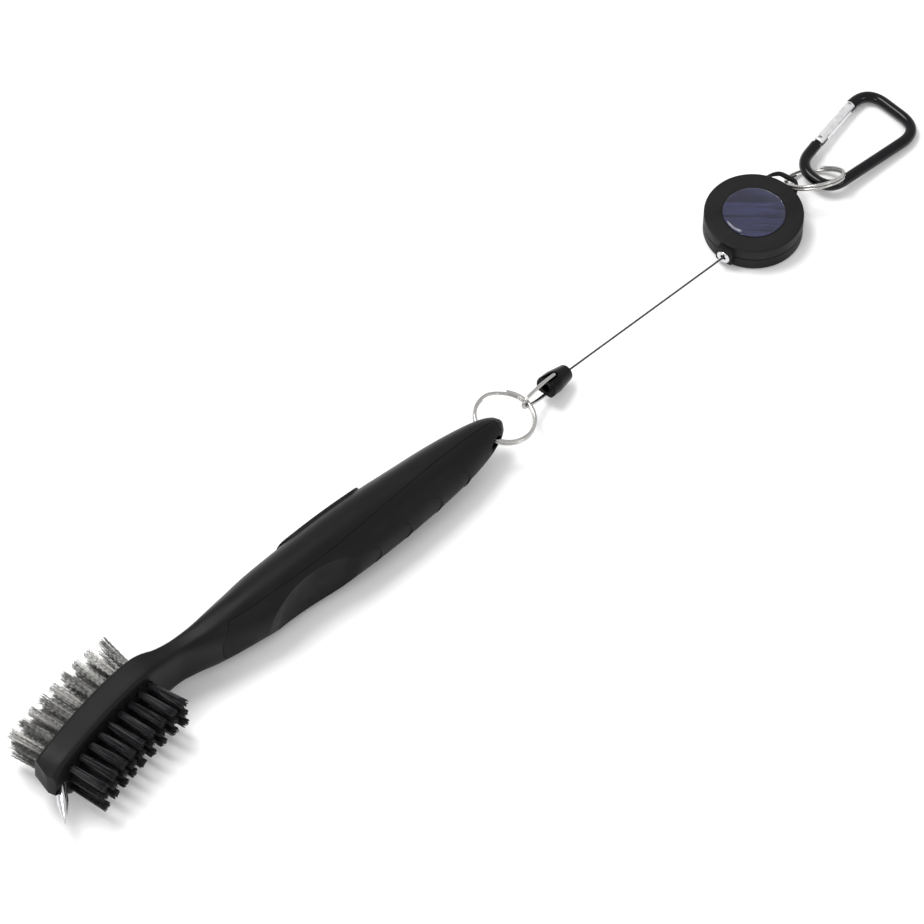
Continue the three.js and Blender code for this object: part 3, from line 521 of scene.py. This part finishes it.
def floor_paper():
    material, tree, shader, at = new_material("floor_paper", (0.9, 0.9, 0.9), 0.65)
    tone = noise(tree, at, 3, 2)
    tree.links.new(ramp(tree, tone, 0.6, 0.7), shader.inputs["Roughness"])
    return material


# ---- camera, light and floor ----------------------------------------------------------------
def aim(thing, target):
    direction = Vector(target) - thing.location
    thing.rotation_euler = direction.to_track_quat("-Z", "Y").to_euler()


def view_direction(azimuth, elevation):
    a, e = math.radians(azimuth), math.radians(elevation)
    return Vector((math.sin(a) * math.cos(e), -math.cos(a) * math.cos(e), math.sin(e)))


def add_camera():
    data = bpy.data.cameras.new("camera")
    data.sensor_width = SENSOR_WIDTH
    data.lens = LENS
    data.clip_start = CLIP_START
    camera = bpy.data.objects.new("camera", data)
    target = LAYOUT @ Vector(VIEW_TARGET)
    camera.location = target + view_direction(VIEW_AZIMUTH, VIEW_ELEVATION) * VIEW_DISTANCE
    aim(camera, target)
    bpy.context.scene.collection.objects.link(camera)
    bpy.context.scene.camera = camera


def add_area(name, azimuth, elevation, distance, size, power):
    data = bpy.data.lights.new(name, "AREA")
    data.shape = "RECTANGLE"
    data.size, data.size_y = size
    data.energy = power
    light = bpy.data.objects.new(name, data)
    light.location = view_direction(azimuth, elevation) * distance
    aim(light, (0, 0, 0))
    bpy.context.scene.collection.objects.link(light)


def add_studio():
    world = bpy.data.worlds.new("studio")
    world.use_nodes = True
    world.node_tree.nodes["Background"].inputs["Color"].default_value = (1, 1, 1, 1)
    world.node_tree.nodes["Background"].inputs["Strength"].default_value = SKY_STRENGTH
    bpy.context.scene.world = world
    bpy.context.scene.view_settings.view_transform = "Standard"
    for light in LIGHTS:
        add_area(*light)


def add_floor():
    sides = [(-1, -1), (1, -1), (1, 1), (-1, 1)]
    corners = [(FLOOR_HALF * x, FLOOR_HALF * y, -FLOOR_DROP) for x, y in sides]
    mesh = mesh_of(corners, [(0, 1, 2, 3)])
    mesh.materials.append(floor_paper())
    floor = bpy.data.objects.new("floor", mesh)
    bpy.context.scene.collection.objects.link(floor)


# ---- cord -----------------------------------------------------------------------------------
def add_cord(material):
    """The cord comes out of the plug and goes straight into the eyelet of the reel."""
    start = bail_frame() @ Vector((PLUG_NECK + 0.2, 0, 0))
    plug_mouth = bail_frame() @ Vector((PLUG_TO + 0.2, 0, 0))
    reel_mouth = reel_frame() @ Vector((-BOSS_REACH - EYELET_THICK, 0, EYELET_Z))
    end = reel_frame() @ Vector((-BOSS_REACH + 1.2, 0, EYELET_Z))
    route = [start.lerp(plug_mouth, t) for t in (0, 0.5)]
    route += [plug_mouth.lerp(reel_mouth, k / 60) for k in range(61)]
    route += [reel_mouth.lerp(end, t) for t in (0.5, 1)]
    mesh = tube(route, [CORD_RADIUS] * len(route), 16)
    mesh.transform(LAYOUT)
    mesh.shade_smooth()
    mesh.set_sharp_from_angle(angle=math.radians(40))
    mesh.materials.append(material)
    cord = bpy.data.objects.new("zip_line", mesh)
    bpy.context.scene.collection.objects.link(cord)
    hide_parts("zip_cord")
    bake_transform(cord)


# ---- brush ----------------------------------------------------------------------------------
def section_ring(x, grow, sides=96):
    power = 2 / section(x, N)
    a = max(section(x, A) + grow, 0.3)
    b = max(section(x, B) + grow, 0.3)
    local = brush_frame(x)
    ring = []
    for k in range(sides):
        t = (k + 0.5) * 2 * math.pi / sides
        c, s = math.cos(t), math.sin(t)
        ring.append(local @ Vector((0, a * math.copysign(abs(c) ** power, c),
                                    b * math.copysign(abs(s) ** power, s))))
    return ring


def stops(start, end, step=1.6):
    count = max(2, round((end - start) / step))
    return [start + (end - start) * k / count for k in range(count + 1)]


def brush_loft(grow, start=SECTIONS[0][0], end=SECTIONS[-1][0]):
    return loft([section_ring(x, grow) for x in stops(start, end)])


def seam_share(x):
    t = min(1, max(0, (x - SEAM_FROM) / (SEAM_TO - SEAM_FROM)))
    return SEAM_FRONT + (SEAM_BACK - SEAM_FRONT) * t * t * (3 - 2 * t)


def grip_region(shrink):
    """Everything on the nylon side of the seam, between the crescent front and the back end."""
    rings = []
    front, back = GRIP_FRONT + shrink, GRIP_BACK - shrink
    for x in stops(front, back, 0.8):
        share = min(1, (x - front) / GRIP_CRESCENT + 0.02)
        rise = 14 * math.sqrt(1 - (1 - share) ** 2)
        seam = section(x, Y) - seam_share(x) * section(x, A) - shrink
        rings.append([Vector((x, y, AXIS_Z + z)) for y, z in
                      ((-30, -rise), (seam, -rise), (seam, rise), (-30, rise))])
    return loft(rings)


def scallop_cutter(shift=0.0):
    radius = (SCALLOP_HALF ** 2 + SCALLOP_DEPTH ** 2) / (2 * SCALLOP_DEPTH)
    face = section(SCALLOP_X, Y) - section(SCALLOP_X, A)
    centre = face + SCALLOP_DEPTH - radius + shift
    side = 14 * math.tan(math.radians(SCALLOP_LEAN))
    return bar(Vector((SCALLOP_X - side, centre, AXIS_Z - 14)),
               Vector((SCALLOP_X + side, centre, AXIS_Z + 14)), radius, 300)


def scallop_core(shift):
    return boolean("INTERSECT", scallop_cutter(shift), [box(60, 150, -30, shift, -5, 30)])


def ridge(x):
    """A thin raised crescent on the nylon side face, bowed towards the tail."""
    path, radii = [], []
    for i in range(25):
        share = i / 12 - 1
        spot = x + RIDGE_BULGE * (1 - share * share)
        up = RIDGE_HALF * share
        lift = math.sqrt(1 - (up / section(spot, B)) ** 2)
        y = section(spot, Y) - section(spot, A) * lift + 0.15
        path.append(Vector((spot, y, AXIS_Z + up)))
        radii.append(RIDGE_WIRE * (0.35 + 0.65 * math.sqrt(1 - 0.99 * share * share)))
    return tube(path, radii, 20)


def pad_region(shrink):
    half = PAD_HALF - shrink
    outline = []
    for centre, first in ((PAD_FROM + PAD_HALF, 90), (PAD_TO - PAD_HALF, -90)):
        for i in range(25):
            t = math.radians(first + 7.5 * i)
            outline.append((centre + half * math.cos(t), half * math.sin(t)))
    return loft([[Vector((x, y, AXIS_Z + z)) for x, z in outline] for y in (2, 22)])


def tail_hole():
    y, half = section(TAIL_X, Y), section(TAIL_X, A)
    spots = [Vector((TAIL_X, y + d, AXIS_Z)) for d in (-12, 12, -half - 2, -half + 1.1,
                                                      half + 2, half - 1.1)]
    return [bar(spots[0], spots[1], TAIL_RADIUS),
            bar(spots[2], spots[3], TAIL_FLARE, 48, TAIL_RADIUS),
            bar(spots[4], spots[5], TAIL_FLARE, 48, TAIL_RADIUS)]


def tip_cuts():
    return [moved(box(0, 14, -20, 20, -20, 20), place(*TIP_CORNER, yaw, pitch))
            for yaw, pitch in TIP_CUTS]


def tuft_places():
    return [FIRST_TUFT + TUFT_PITCH * i for i in range(TUFTS)]


def sockets():
    holes = []
    for kind in (NYLON, STEEL):
        for up in ROW_OFFSETS.values():
            for x in tuft_places():
                face = kind["side"] * section(x, A)
                floor = brush_frame(x) @ Vector((0, face - kind["side"] * SOCKET_DEPTH, up))
                mouth = brush_frame(x) @ Vector((0, face + kind["side"] * 2, up))
                holes.append(bar(floor, mouth, SOCKET_RADIUS, 20))
    return merged(holes)


def spike_hole():
    start = SPIKE_TIP + SPIKE_DIRECTION * SPIKE_CONE
    end = SPIKE_TIP + SPIKE_DIRECTION * (SPIKE_LENGTH + GAP)
    return bar(start, end, SPIKE_RADIUS + GAP)


def add_handle(plastic):
    core = brush_loft(-SKIN, GRIP_FRONT - 4, GRIP_BACK - 1.2)
    skin_space = boolean("DIFFERENCE", grip_region(0), [core])
    pad_bed = brush_loft(-PAD_INLAY, PAD_FROM - 6, PAD_TO + 6)
    pad_space = boolean("DIFFERENCE", pad_region(0), [pad_bed])
    cuts = [skin_space, pad_space, scallop_core(SKIN), *tail_hole(), sockets(), *tip_cuts(),
            spike_hole()]
    show("brush_moulding", boolean("DIFFERENCE", brush_loft(0), cuts), "brush",
         plastic, ["brush_body"])


def add_grip(rubber):
    outer = boolean("UNION", brush_loft(0), [ridge(x) for x in RIDGES])
    skin = boolean("INTERSECT", outer, [grip_region(GAP)])
    core = brush_loft(-SKIN + GAP, GRIP_FRONT - 4, GRIP_BACK - 1.2 + GAP)
    hollow = boolean("DIFFERENCE", core, [scallop_core(SKIN - GAP)])
    grip = boolean("DIFFERENCE", skin, [hollow, scallop_cutter(), *tail_hole()])
    show("grip_skin", grip, "brush", rubber, ["grip_insert"])


def add_pad(rubber):
    outer = brush_loft(PAD_PROUD, PAD_FROM - 4, PAD_TO + 4)
    bed = brush_loft(-PAD_INLAY + GAP, PAD_FROM - 6, PAD_TO + 6)
    pad = boolean("INTERSECT", outer, [pad_region(GAP)])
    pad = boolean("DIFFERENCE", pad, [bed])
    show("thumb_rest", pad, "brush", rubber, ["thumb_pad"])


def add_spike(metal):
    cone = [k / 12 for k in range(13)]
    profile = [(SPIKE_CONE * t, 0.06 + (SPIKE_RADIUS - 0.06) * t ** 0.75) for t in cone]
    profile.append((SPIKE_LENGTH, SPIKE_RADIUS))
    path = [SPIKE_TIP + SPIKE_DIRECTION * s for s, _ in profile]
    show("spike_pin", tube(path, [r for _, r in profile], 40), "brush", metal,
         ["groove_spike"])


# ---- bristles -------------------------------------------------------------------------------
def strand_path(kind, tuft, up, spot, rng, crimp):
    """Centre line of one filament: from its root in the head out to its own tip."""
    x = FIRST_TUFT + TUFT_PITCH * tuft
    local = brush_frame(x)
    face = section(x, A)
    tuft_lean = math.tan(math.radians(kind["fan"] * max(0, (tuft - 4) / 4) ** 1.5))
    lean = Vector((rng.gauss(0, kind["stray"]), rng.gauss(0, kind["stray"])))
    length = kind["length"] + rng.uniform(-kind["uneven"], kind["uneven"] * 0.7)
    phase, turn = crimp[0] + rng.gauss(0, 0.3), crimp[1] + rng.gauss(0, 0.2)
    steps = kind["steps"]
    path = []
    for i in range(steps + 1):
        t = i / steps
        out = -SOCKET_DEPTH + 0.4 + t * (SOCKET_DEPTH - 0.4 + length)
        free = max(0, out / kind["length"])
        radius = kind["face"] + (kind["tip"] - kind["face"]) * free
        if out < 0:
            radius = kind["root"] + (kind["face"] - kind["root"]) * (1 + out / SOCKET_DEPTH)
        sway = kind["wave"] * min(1, max(0, out)) * math.sin(phase + out * kind["crimp"])
        bend = tuft_lean * max(0, out)
        u = spot[0] * radius + lean.x * free ** 1.6 + sway * math.cos(turn) + bend
        v = spot[1] * radius + lean.y * free ** 1.6 + sway * math.sin(turn)
        path.append(local @ Vector((u, kind["side"] * (face + out), up + v)))
    return path


def tuft_row(kind, up, seed):
    """All filaments of one row, each a thin tube with a rounded end."""
    rng = random.Random(seed)
    strands = []
    for tuft in range(TUFTS):
        crimp = (rng.uniform(0, 6.28), rng.uniform(-0.5, 0.5))
        for k in range(kind["count"]):
            spread = math.sqrt((k + 0.5) / kind["count"]) * (1 - kind["thick"] / kind["face"])
            angle = k * 2.39996 + rng.uniform(-0.2, 0.2)
            spot = (spread * math.cos(angle), spread * math.sin(angle))
            path = strand_path(kind, tuft, up, spot, rng, crimp)
            tip = path[-1] + (path[-1] - path[-2]).normalized() * kind["thick"] * 0.5
            radii = [kind["thick"]] * len(path) + [kind["thick"] * 0.45]
            strands.append(tube([*path, tip], radii, kind["sides"]))
    return merged(strands)


def add_bristles(nylon, steel):
    black = {**NYLON, "count": 34, "thick": 0.165, "sides": 6, "steps": 5, "stray": 0.14,
             "uneven": 0.35, "wave": 0, "crimp": 0}
    wire = {**STEEL, "count": 34, "thick": 0.095, "sides": 5, "steps": 28, "stray": 0.15,
            "uneven": 0.6, "wave": 0.1, "crimp": 3.1}
    for seed, (level, up) in enumerate(ROW_OFFSETS.items()):
        show(f"nylon_tufts_{level}", tuft_row(black, up, 11 + seed), "brush",
             nylon, [f"nylon_row_{level}"], angle=60)
        show(f"steel_tufts_{level}", tuft_row(wire, up, 51 + seed), "brush",
             steel, [f"steel_row_{level}"], angle=60)


# ---- rings, bail and plug -------------------------------------------------------------------
def split_ring(spec, steps=220, sides=16):
    """Two flat coils of flattened wire with a short climb between them."""
    jog = 40
    start, end = spec["jog"] + jog + 6, spec["jog"] + 714
    rings = []
    for i in range(steps + 1):
        angle = start + (end - start) * i / steps
        t = min(1, max(0, (angle - spec["jog"] - 360) / jog))
        climb = t * t * (3 - 2 * t)
        out = Vector((math.cos(math.radians(angle)), math.sin(math.radians(angle)), 0))
        centre = out * spec["radius"] + Vector((0, 0, (climb - 0.5) * spec["rise"]))
        ring = []
        for k in range(sides):
            a = (k + 0.5) * 2 * math.pi / sides
            c, s = math.cos(a), math.sin(a)
            ring.append(centre + out * (spec["wide"] / 2 * math.copysign(abs(c) ** 0.75, c))
                        + Vector((0, 0, spec["thick"] / 2 * math.copysign(abs(s) ** 0.75, s))))
        rings.append(ring)
    return loft(rings)


def curve_points(controls, count):
    """Points along a straight line, or a Bezier curve of three or four control points."""
    points = []
    for i in range(count):
        row = [Vector(c) for c in controls]
        t = i / count
        while len(row) > 1:
            row = [p.lerp(q, t) for p, q in zip(row, row[1:])]
        points.append(row[0])
    return points


def bail_path():
    corner, leg = 0.9, PLUG_FROM - 0.5
    upper = [
        ([(PIN, 0, PLUG_BORE + 0.3), (PIN, 0, SPREAD - corner)], 2),
        ([(PIN, 0, SPREAD - corner), (PIN, 0, SPREAD), (PIN - corner, 0, SPREAD)], 8),
        ([(PIN - corner, 0, SPREAD), (leg, 0, SPREAD)], 3),
        ([(leg, 0, SPREAD), (5, 0, SPREAD), (1.2, 0, BOW)], 12),
    ]
    lower = [([(x, y, -z) for x, y, z in reversed(controls)], count)
             for controls, count in reversed(upper)]
    hook = ([(1.2, 0, BOW), (-2.6, 0, BOW * 0.85), (-2.6, 0, -BOW * 0.85), (1.2, 0, -BOW)], 24)
    points = [p for controls, count in [*upper, hook, *lower]
              for p in curve_points(controls, count)]
    return [*points, Vector((PIN, 0, -PLUG_BORE - 0.3))]


def rounded(profile, corners, radius, steps=5):
    """Rounds the listed corners of a (radius, height) profile with small arcs."""
    result = []
    for i, point in enumerate(profile):
        if i not in corners:
            result.append(point)
            continue
        here = Vector(point)
        before = here + (Vector(profile[i - 1]) - here).normalized() * radius
        after = here + (Vector(profile[(i + 1) % len(profile)]) - here).normalized() * radius
        for k in range(steps + 1):
            t = k / steps
            p = before.lerp(here, t).lerp(here.lerp(after, t), t)
            result.append((p.x, p.y))
    return result


def add_plug(plastic):
    profile = rounded([(PLUG_BORE, PLUG_FROM), (PLUG_BIG, PLUG_FROM), (PLUG_BIG, PLUG_FROM + 4),
                       (PLUG_SMALL, PLUG_TO), (PLUG_THROAT, PLUG_TO), (PLUG_THROAT, PLUG_NECK),
                       (PLUG_BORE, PLUG_NECK - 0.9)], (1, 2, 3), 0.5)
    body = moved(turned(profile, 96), Matrix.Rotation(math.pi / 2, 4, "Y"))
    low = SPREAD - WIRE - GAP
    reach = PIN - PLUG_FROM + 1.5
    half = WIRE + 0.2
    wide = half + reach * math.tan(math.radians(PLUG_TURN))
    fan = [(PIN + half, half), (PIN + half, -half), (PIN - reach, -wide), (PIN - reach, wide)]
    cuts = [prism(fan, low, PLUG_BIG + 1), prism(fan, -PLUG_BIG - 1, -low),
            bar(Vector((PIN, 0, -5)), Vector((PIN, 0, 5)), WIRE + GAP)]
    show("plug_shell", boolean("DIFFERENCE", body, cuts), "plug", plastic,
         ["cord_plug"], bail_frame())


def add_ring_and_bail(metal):
    show("tail_split_ring", split_ring(TAIL_RING), "tail_loop", metal, ["tail_ring"],
         tail_ring_frame(), 50)
    path = bail_path()
    show("bail_wire", tube(path, [WIRE] * len(path), 20), "bail", metal, ["plug_bail"],
         bail_frame(), 50)


# ---- reel -----------------------------------------------------------------------------------
def rounded_box(x0, x1, y0, y1, z0, z1, radius=0.7):
    """A block along X whose four long edges are rounded."""
    corners = [(y1 - radius, z1 - radius, 0), (y0 + radius, z1 - radius, 90),
               (y0 + radius, z0 + radius, 180), (y1 - radius, z0 + radius, 270)]
    outline = []
    for y, z, first in corners:
        for k in range(7):
            t = math.radians(first + 15 * k)
            outline.append((y + radius * math.cos(t), z + radius * math.sin(t)))
    return loft([[Vector((x, y, z)) for y, z in outline] for x in (x0, x1)])


def boss():
    return rounded_box(-BOSS_REACH, -REEL_RADIUS + 3, -BOSS_HALF, BOSS_HALF, BOSS_LOW, BOSS_HIGH)


def eyelet_hole():
    return bar(Vector((-BOSS_REACH - 1, 0, EYELET_Z)), Vector((-REEL_RADIUS + 2.5, 0, EYELET_Z)),
               EYELET_TUBE + GAP)


def reel_inside():
    inner = REEL_RADIUS - REEL_WALL
    return turned([(0, -1), (inner, -1), (inner, 11), (0, 11)])


def lug_bridge():
    root = REEL_RADIUS - 1.2
    outline = [(root, LUG_HALF + 1.8), (root, -LUG_HALF - 1.8)]
    for i in range(41):
        t = -1 + i / 20
        outline.append((LUG_RIM - 5.2 * t ** 4, LUG_HALF * t))
    slot = [(LUG_SLOT_IN, -LUG_SLOT_HALF), (LUG_SLOT_OUT - 1.6, -LUG_SLOT_HALF),
            (LUG_SLOT_OUT, -LUG_SLOT_HALF + 1.8), (LUG_SLOT_OUT, LUG_SLOT_HALF - 1.8),
            (LUG_SLOT_OUT - 1.6, LUG_SLOT_HALF), (LUG_SLOT_IN, LUG_SLOT_HALF)]
    return boolean("DIFFERENCE", prism(outline, LUG_LOW, LUG_HIGH),
                   [prism(slot, LUG_LOW - 1, LUG_HIGH + 1)])


def add_reel_shells(plastic):
    inner, recess = REEL_RADIUS - REEL_WALL, DOME_RADIUS + GAP
    low, floor = REEL_SEAM + 0.1, LABEL_LOW - GAP
    front = rounded([(inner, low), (REEL_RADIUS, low), (REEL_RADIUS, REEL_HEIGHT),
                     (recess, REEL_HEIGHT), (recess, floor), (0, floor), (0, REEL_CEILING),
                     (inner, REEL_CEILING)], (2,), REEL_EDGE, 8)
    front = rounded(front, (1,), 0.25, 3)
    upper = boolean("INTERSECT", boss(), [box(-30, 0, -10, 10, low, 10)])
    outside = boolean("DIFFERENCE", boolean("UNION", upper, [lug_bridge()]), [reel_inside()])
    shell = boolean("UNION", turned(front), [outside])
    show("reel_face_shell", boolean("DIFFERENCE", shell, [eyelet_hole()]), "reel",
         plastic, ["reel_front"], reel_frame())

    high = REEL_SEAM - 0.1
    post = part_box("reel_back")[1].z * 1000
    back = rounded([(0, 0), (REEL_RADIUS, 0), (REEL_RADIUS, high), (inner, high),
                    (inner, REEL_FLOOR), (2, REEL_FLOOR), (2, post), (0, post)], (1,),
                   REEL_EDGE, 8)
    lower = boolean("INTERSECT", boss(), [box(-30, 0, -10, 10, 0, high)])
    shell = boolean("UNION", turned(back), [boolean("DIFFERENCE", lower, [reel_inside()])])
    show("reel_back_shell", boolean("DIFFERENCE", shell, [eyelet_hole()]), "reel",
         plastic, ["reel_back"], reel_frame())


def add_eyelet(metal):
    profile = rounded([(EYELET_BORE, -EYELET_THICK), (EYELET_FLANGE, -EYELET_THICK),
                       (EYELET_FLANGE, 0), (EYELET_TUBE, 0), (EYELET_TUBE, 4),
                       (EYELET_BORE, 4)], (0, 1), 0.4)
    seat = reel_frame() @ Matrix.Translation((-BOSS_REACH - 0.05, 0, EYELET_Z))
    show("eyelet_ring", turned(profile, 64), "reel", metal, ["reel_eyelet"],
         seat @ Matrix.Rotation(math.pi / 2, 4, "Y"))


def add_label(print_material, resin):
    disc = turned([(0, LABEL_LOW), (LABEL_RADIUS, LABEL_LOW), (LABEL_RADIUS, LABEL_HIGH),
                   (0, LABEL_HIGH)])
    show("label_sheet", disc, "reel", print_material, ["label_disc"],
         reel_frame())
    profile = [(0, DOME_BASE), (DOME_RADIUS, DOME_BASE), (DOME_RADIUS, DOME_RIM)]
    for i in range(1, 21):
        t = math.pi / 2 * i / 20
        flat = DOME_RADIUS * math.cos(t) ** 0.6 if i < 20 else 0
        profile.append((flat, DOME_RIM + (DOME_CROWN - DOME_RIM) * math.sin(t)))
    show("resin_dome", turned(profile), "reel", resin, ["label_dome"],
         reel_frame())


# ---- carabiner ------------------------------------------------------------------------------
def clip_path():
    points = []
    start = Vector((*CLIP_CORNERS[0][:2], 0))
    for i in range(1, len(CLIP_CORNERS) - 1):
        here, before, after = (Vector((*CLIP_CORNERS[k][:2], 0)) for k in (i, i - 1, i + 1))
        blend = CLIP_CORNERS[i][2]
        into = here + (before - here).normalized() * blend
        out = here + (after - here).normalized() * min(blend, (after - here).length)
        points += curve_points([start, into], 10)
        points += curve_points([into, here, out], 24)
        start = out
    return [*points, start]


def in_clip(mesh):
    return moved(mesh, clip_frame().inverted() @ gate_frame())


def add_clip(black):
    path = clip_path()
    rod = tube(path, [ROD] * len(path), 40)
    nose, half = gate_nose(), TONGUE_HEIGHT / 2
    hinge = boolean("DIFFERENCE", box(-GATE_PIVOT - 0.8, 1.1, -half, half, -TONGUE / 2, TONGUE / 2),
                    [bar(Vector((0, 0, -2)), Vector((0, 0, 2)), GATE_PIN + 0.08)])
    catch = nose - GATE_HOOK + 0.7
    tip = boolean("DIFFERENCE",
                  box(nose - GATE_HOOK, nose + 1.2, -half, half, -TONGUE / 2, TONGUE / 2),
                  [box(catch, catch + 2 * LATCH_PIN + 0.4, -half - 1, LATCH_PIN + 0.2, -2, 2)])
    show("clip_rod", boolean("UNION", rod, [in_clip(hinge), in_clip(tip)]), "clip",
         black, ["clip_frame"], clip_frame())


def add_gate(silver, metal):
    nose = gate_nose()
    end = nose - 0.35
    latch_x = nose - GATE_HOOK + 0.9 + LATCH_PIN
    body = tube([Vector((x, 0, 0)) for x in (-GATE_BACK, -GATE_BACK + 0.3, end - 0.3, end)],
                [GATE_RADIUS - 0.3, GATE_RADIUS, GATE_RADIUS, GATE_RADIUS - 0.3], 64)
    cuts = [box(-GATE_BACK - 1, 2, -3, 3, -GATE_SLOT / 2, GATE_SLOT / 2),
            box(nose - GATE_HOOK - 0.35, end + 1, -3, 3, -GATE_SLOT / 2, GATE_SLOT / 2),
            bar(Vector((1, 0, 0)), Vector((13.2, 0, 0)), 1.25),
            bar(Vector((0, 0, -3)), Vector((0, 0, 3)), GATE_PIN + 0.08),
            bar(Vector((latch_x, 0, -3)), Vector((latch_x, 0, 3)), LATCH_PIN + 0.08)]
    show("gate_bar", boolean("DIFFERENCE", body, cuts), "gate", silver,
         ["clip_gate"], gate_frame())
    for name, x, radius, body_name, node in (
            ("hinge_rivet", 0, GATE_PIN, "clip", "gate_pin"),
            ("latch_rivet", latch_x, LATCH_PIN, "gate", "latch_pin")):
        top = GATE_RADIUS - 0.25
        stops_z = [-top, -top + 0.15, top - 0.15, top]
        pin = tube([Vector((x, 0, z)) for z in stops_z],
                   [radius - 0.15, radius, radius, radius - 0.15], 32)
        show(name, pin, body_name, metal, [node], gate_frame())


# ---- assembly -------------------------------------------------------------------------------
def dress_inner_nodes(materials):
    """The hidden CAD pieces keep their shape and get a finish."""
    for node, material in materials.items():
        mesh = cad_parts[node].data
        mesh.materials.clear()
        mesh.materials.append(material)


def main():
    add_camera()
    braid = cord_braid()
    add_cord(braid)
    add_studio()
    add_floor()

    plastic = moulded_plastic("satin_plastic", 0.0065, 0.36, 2600, 0.00002, 0.0004)
    rubber = moulded_plastic("grip_rubber", 0.006, 0.5, 3400, 0.00004, 0.0003)
    gloss = moulded_plastic("gloss_plastic", 0.003, 0.16, 1500, 0.00001, 0.0002)
    case = moulded_plastic("reel_case", 0.010, 0.48, 4200, 0.00004, 0.0003)
    white = moulded_plastic("spool_plastic", 0.68, 0.5, 2000, 0.00002, 0.0002)
    chrome = drawn_metal("chrome", (0.72, 0.72, 0.74), 0.1)
    nickel = drawn_metal("nickel", (0.5, 0.49, 0.48), 0.2, (1, 1, 3), 0.0001)
    spring = drawn_metal("spring_steel", (0.35, 0.36, 0.38), 0.3)

    add_handle(plastic)
    add_grip(rubber)
    add_pad(rubber)
    add_spike(chrome)
    add_bristles(bristle_nylon(), bristle_steel())
    add_ring_and_bail(nickel)
    add_plug(gloss)
    add_reel_shells(case)
    add_eyelet(chrome)
    add_label(label_print(), clear_resin())
    show("lug_split_ring", split_ring(LUG_RING), "lug_loop", nickel, ["lug_ring"],
         lug_ring_frame(), 50)
    add_clip(anodised("black_anodised", (0.003, 0.003, 0.004), 0.12, 0.3))
    add_gate(anodised("silver_anodised", (0.72, 0.72, 0.73), 0.3, 1.0), nickel)
    dress_inner_nodes({"cord_knot": braid, "wound_cord": braid, "cord_spool": white,
                       "return_spring": spring, "gate_spring": spring})


main()
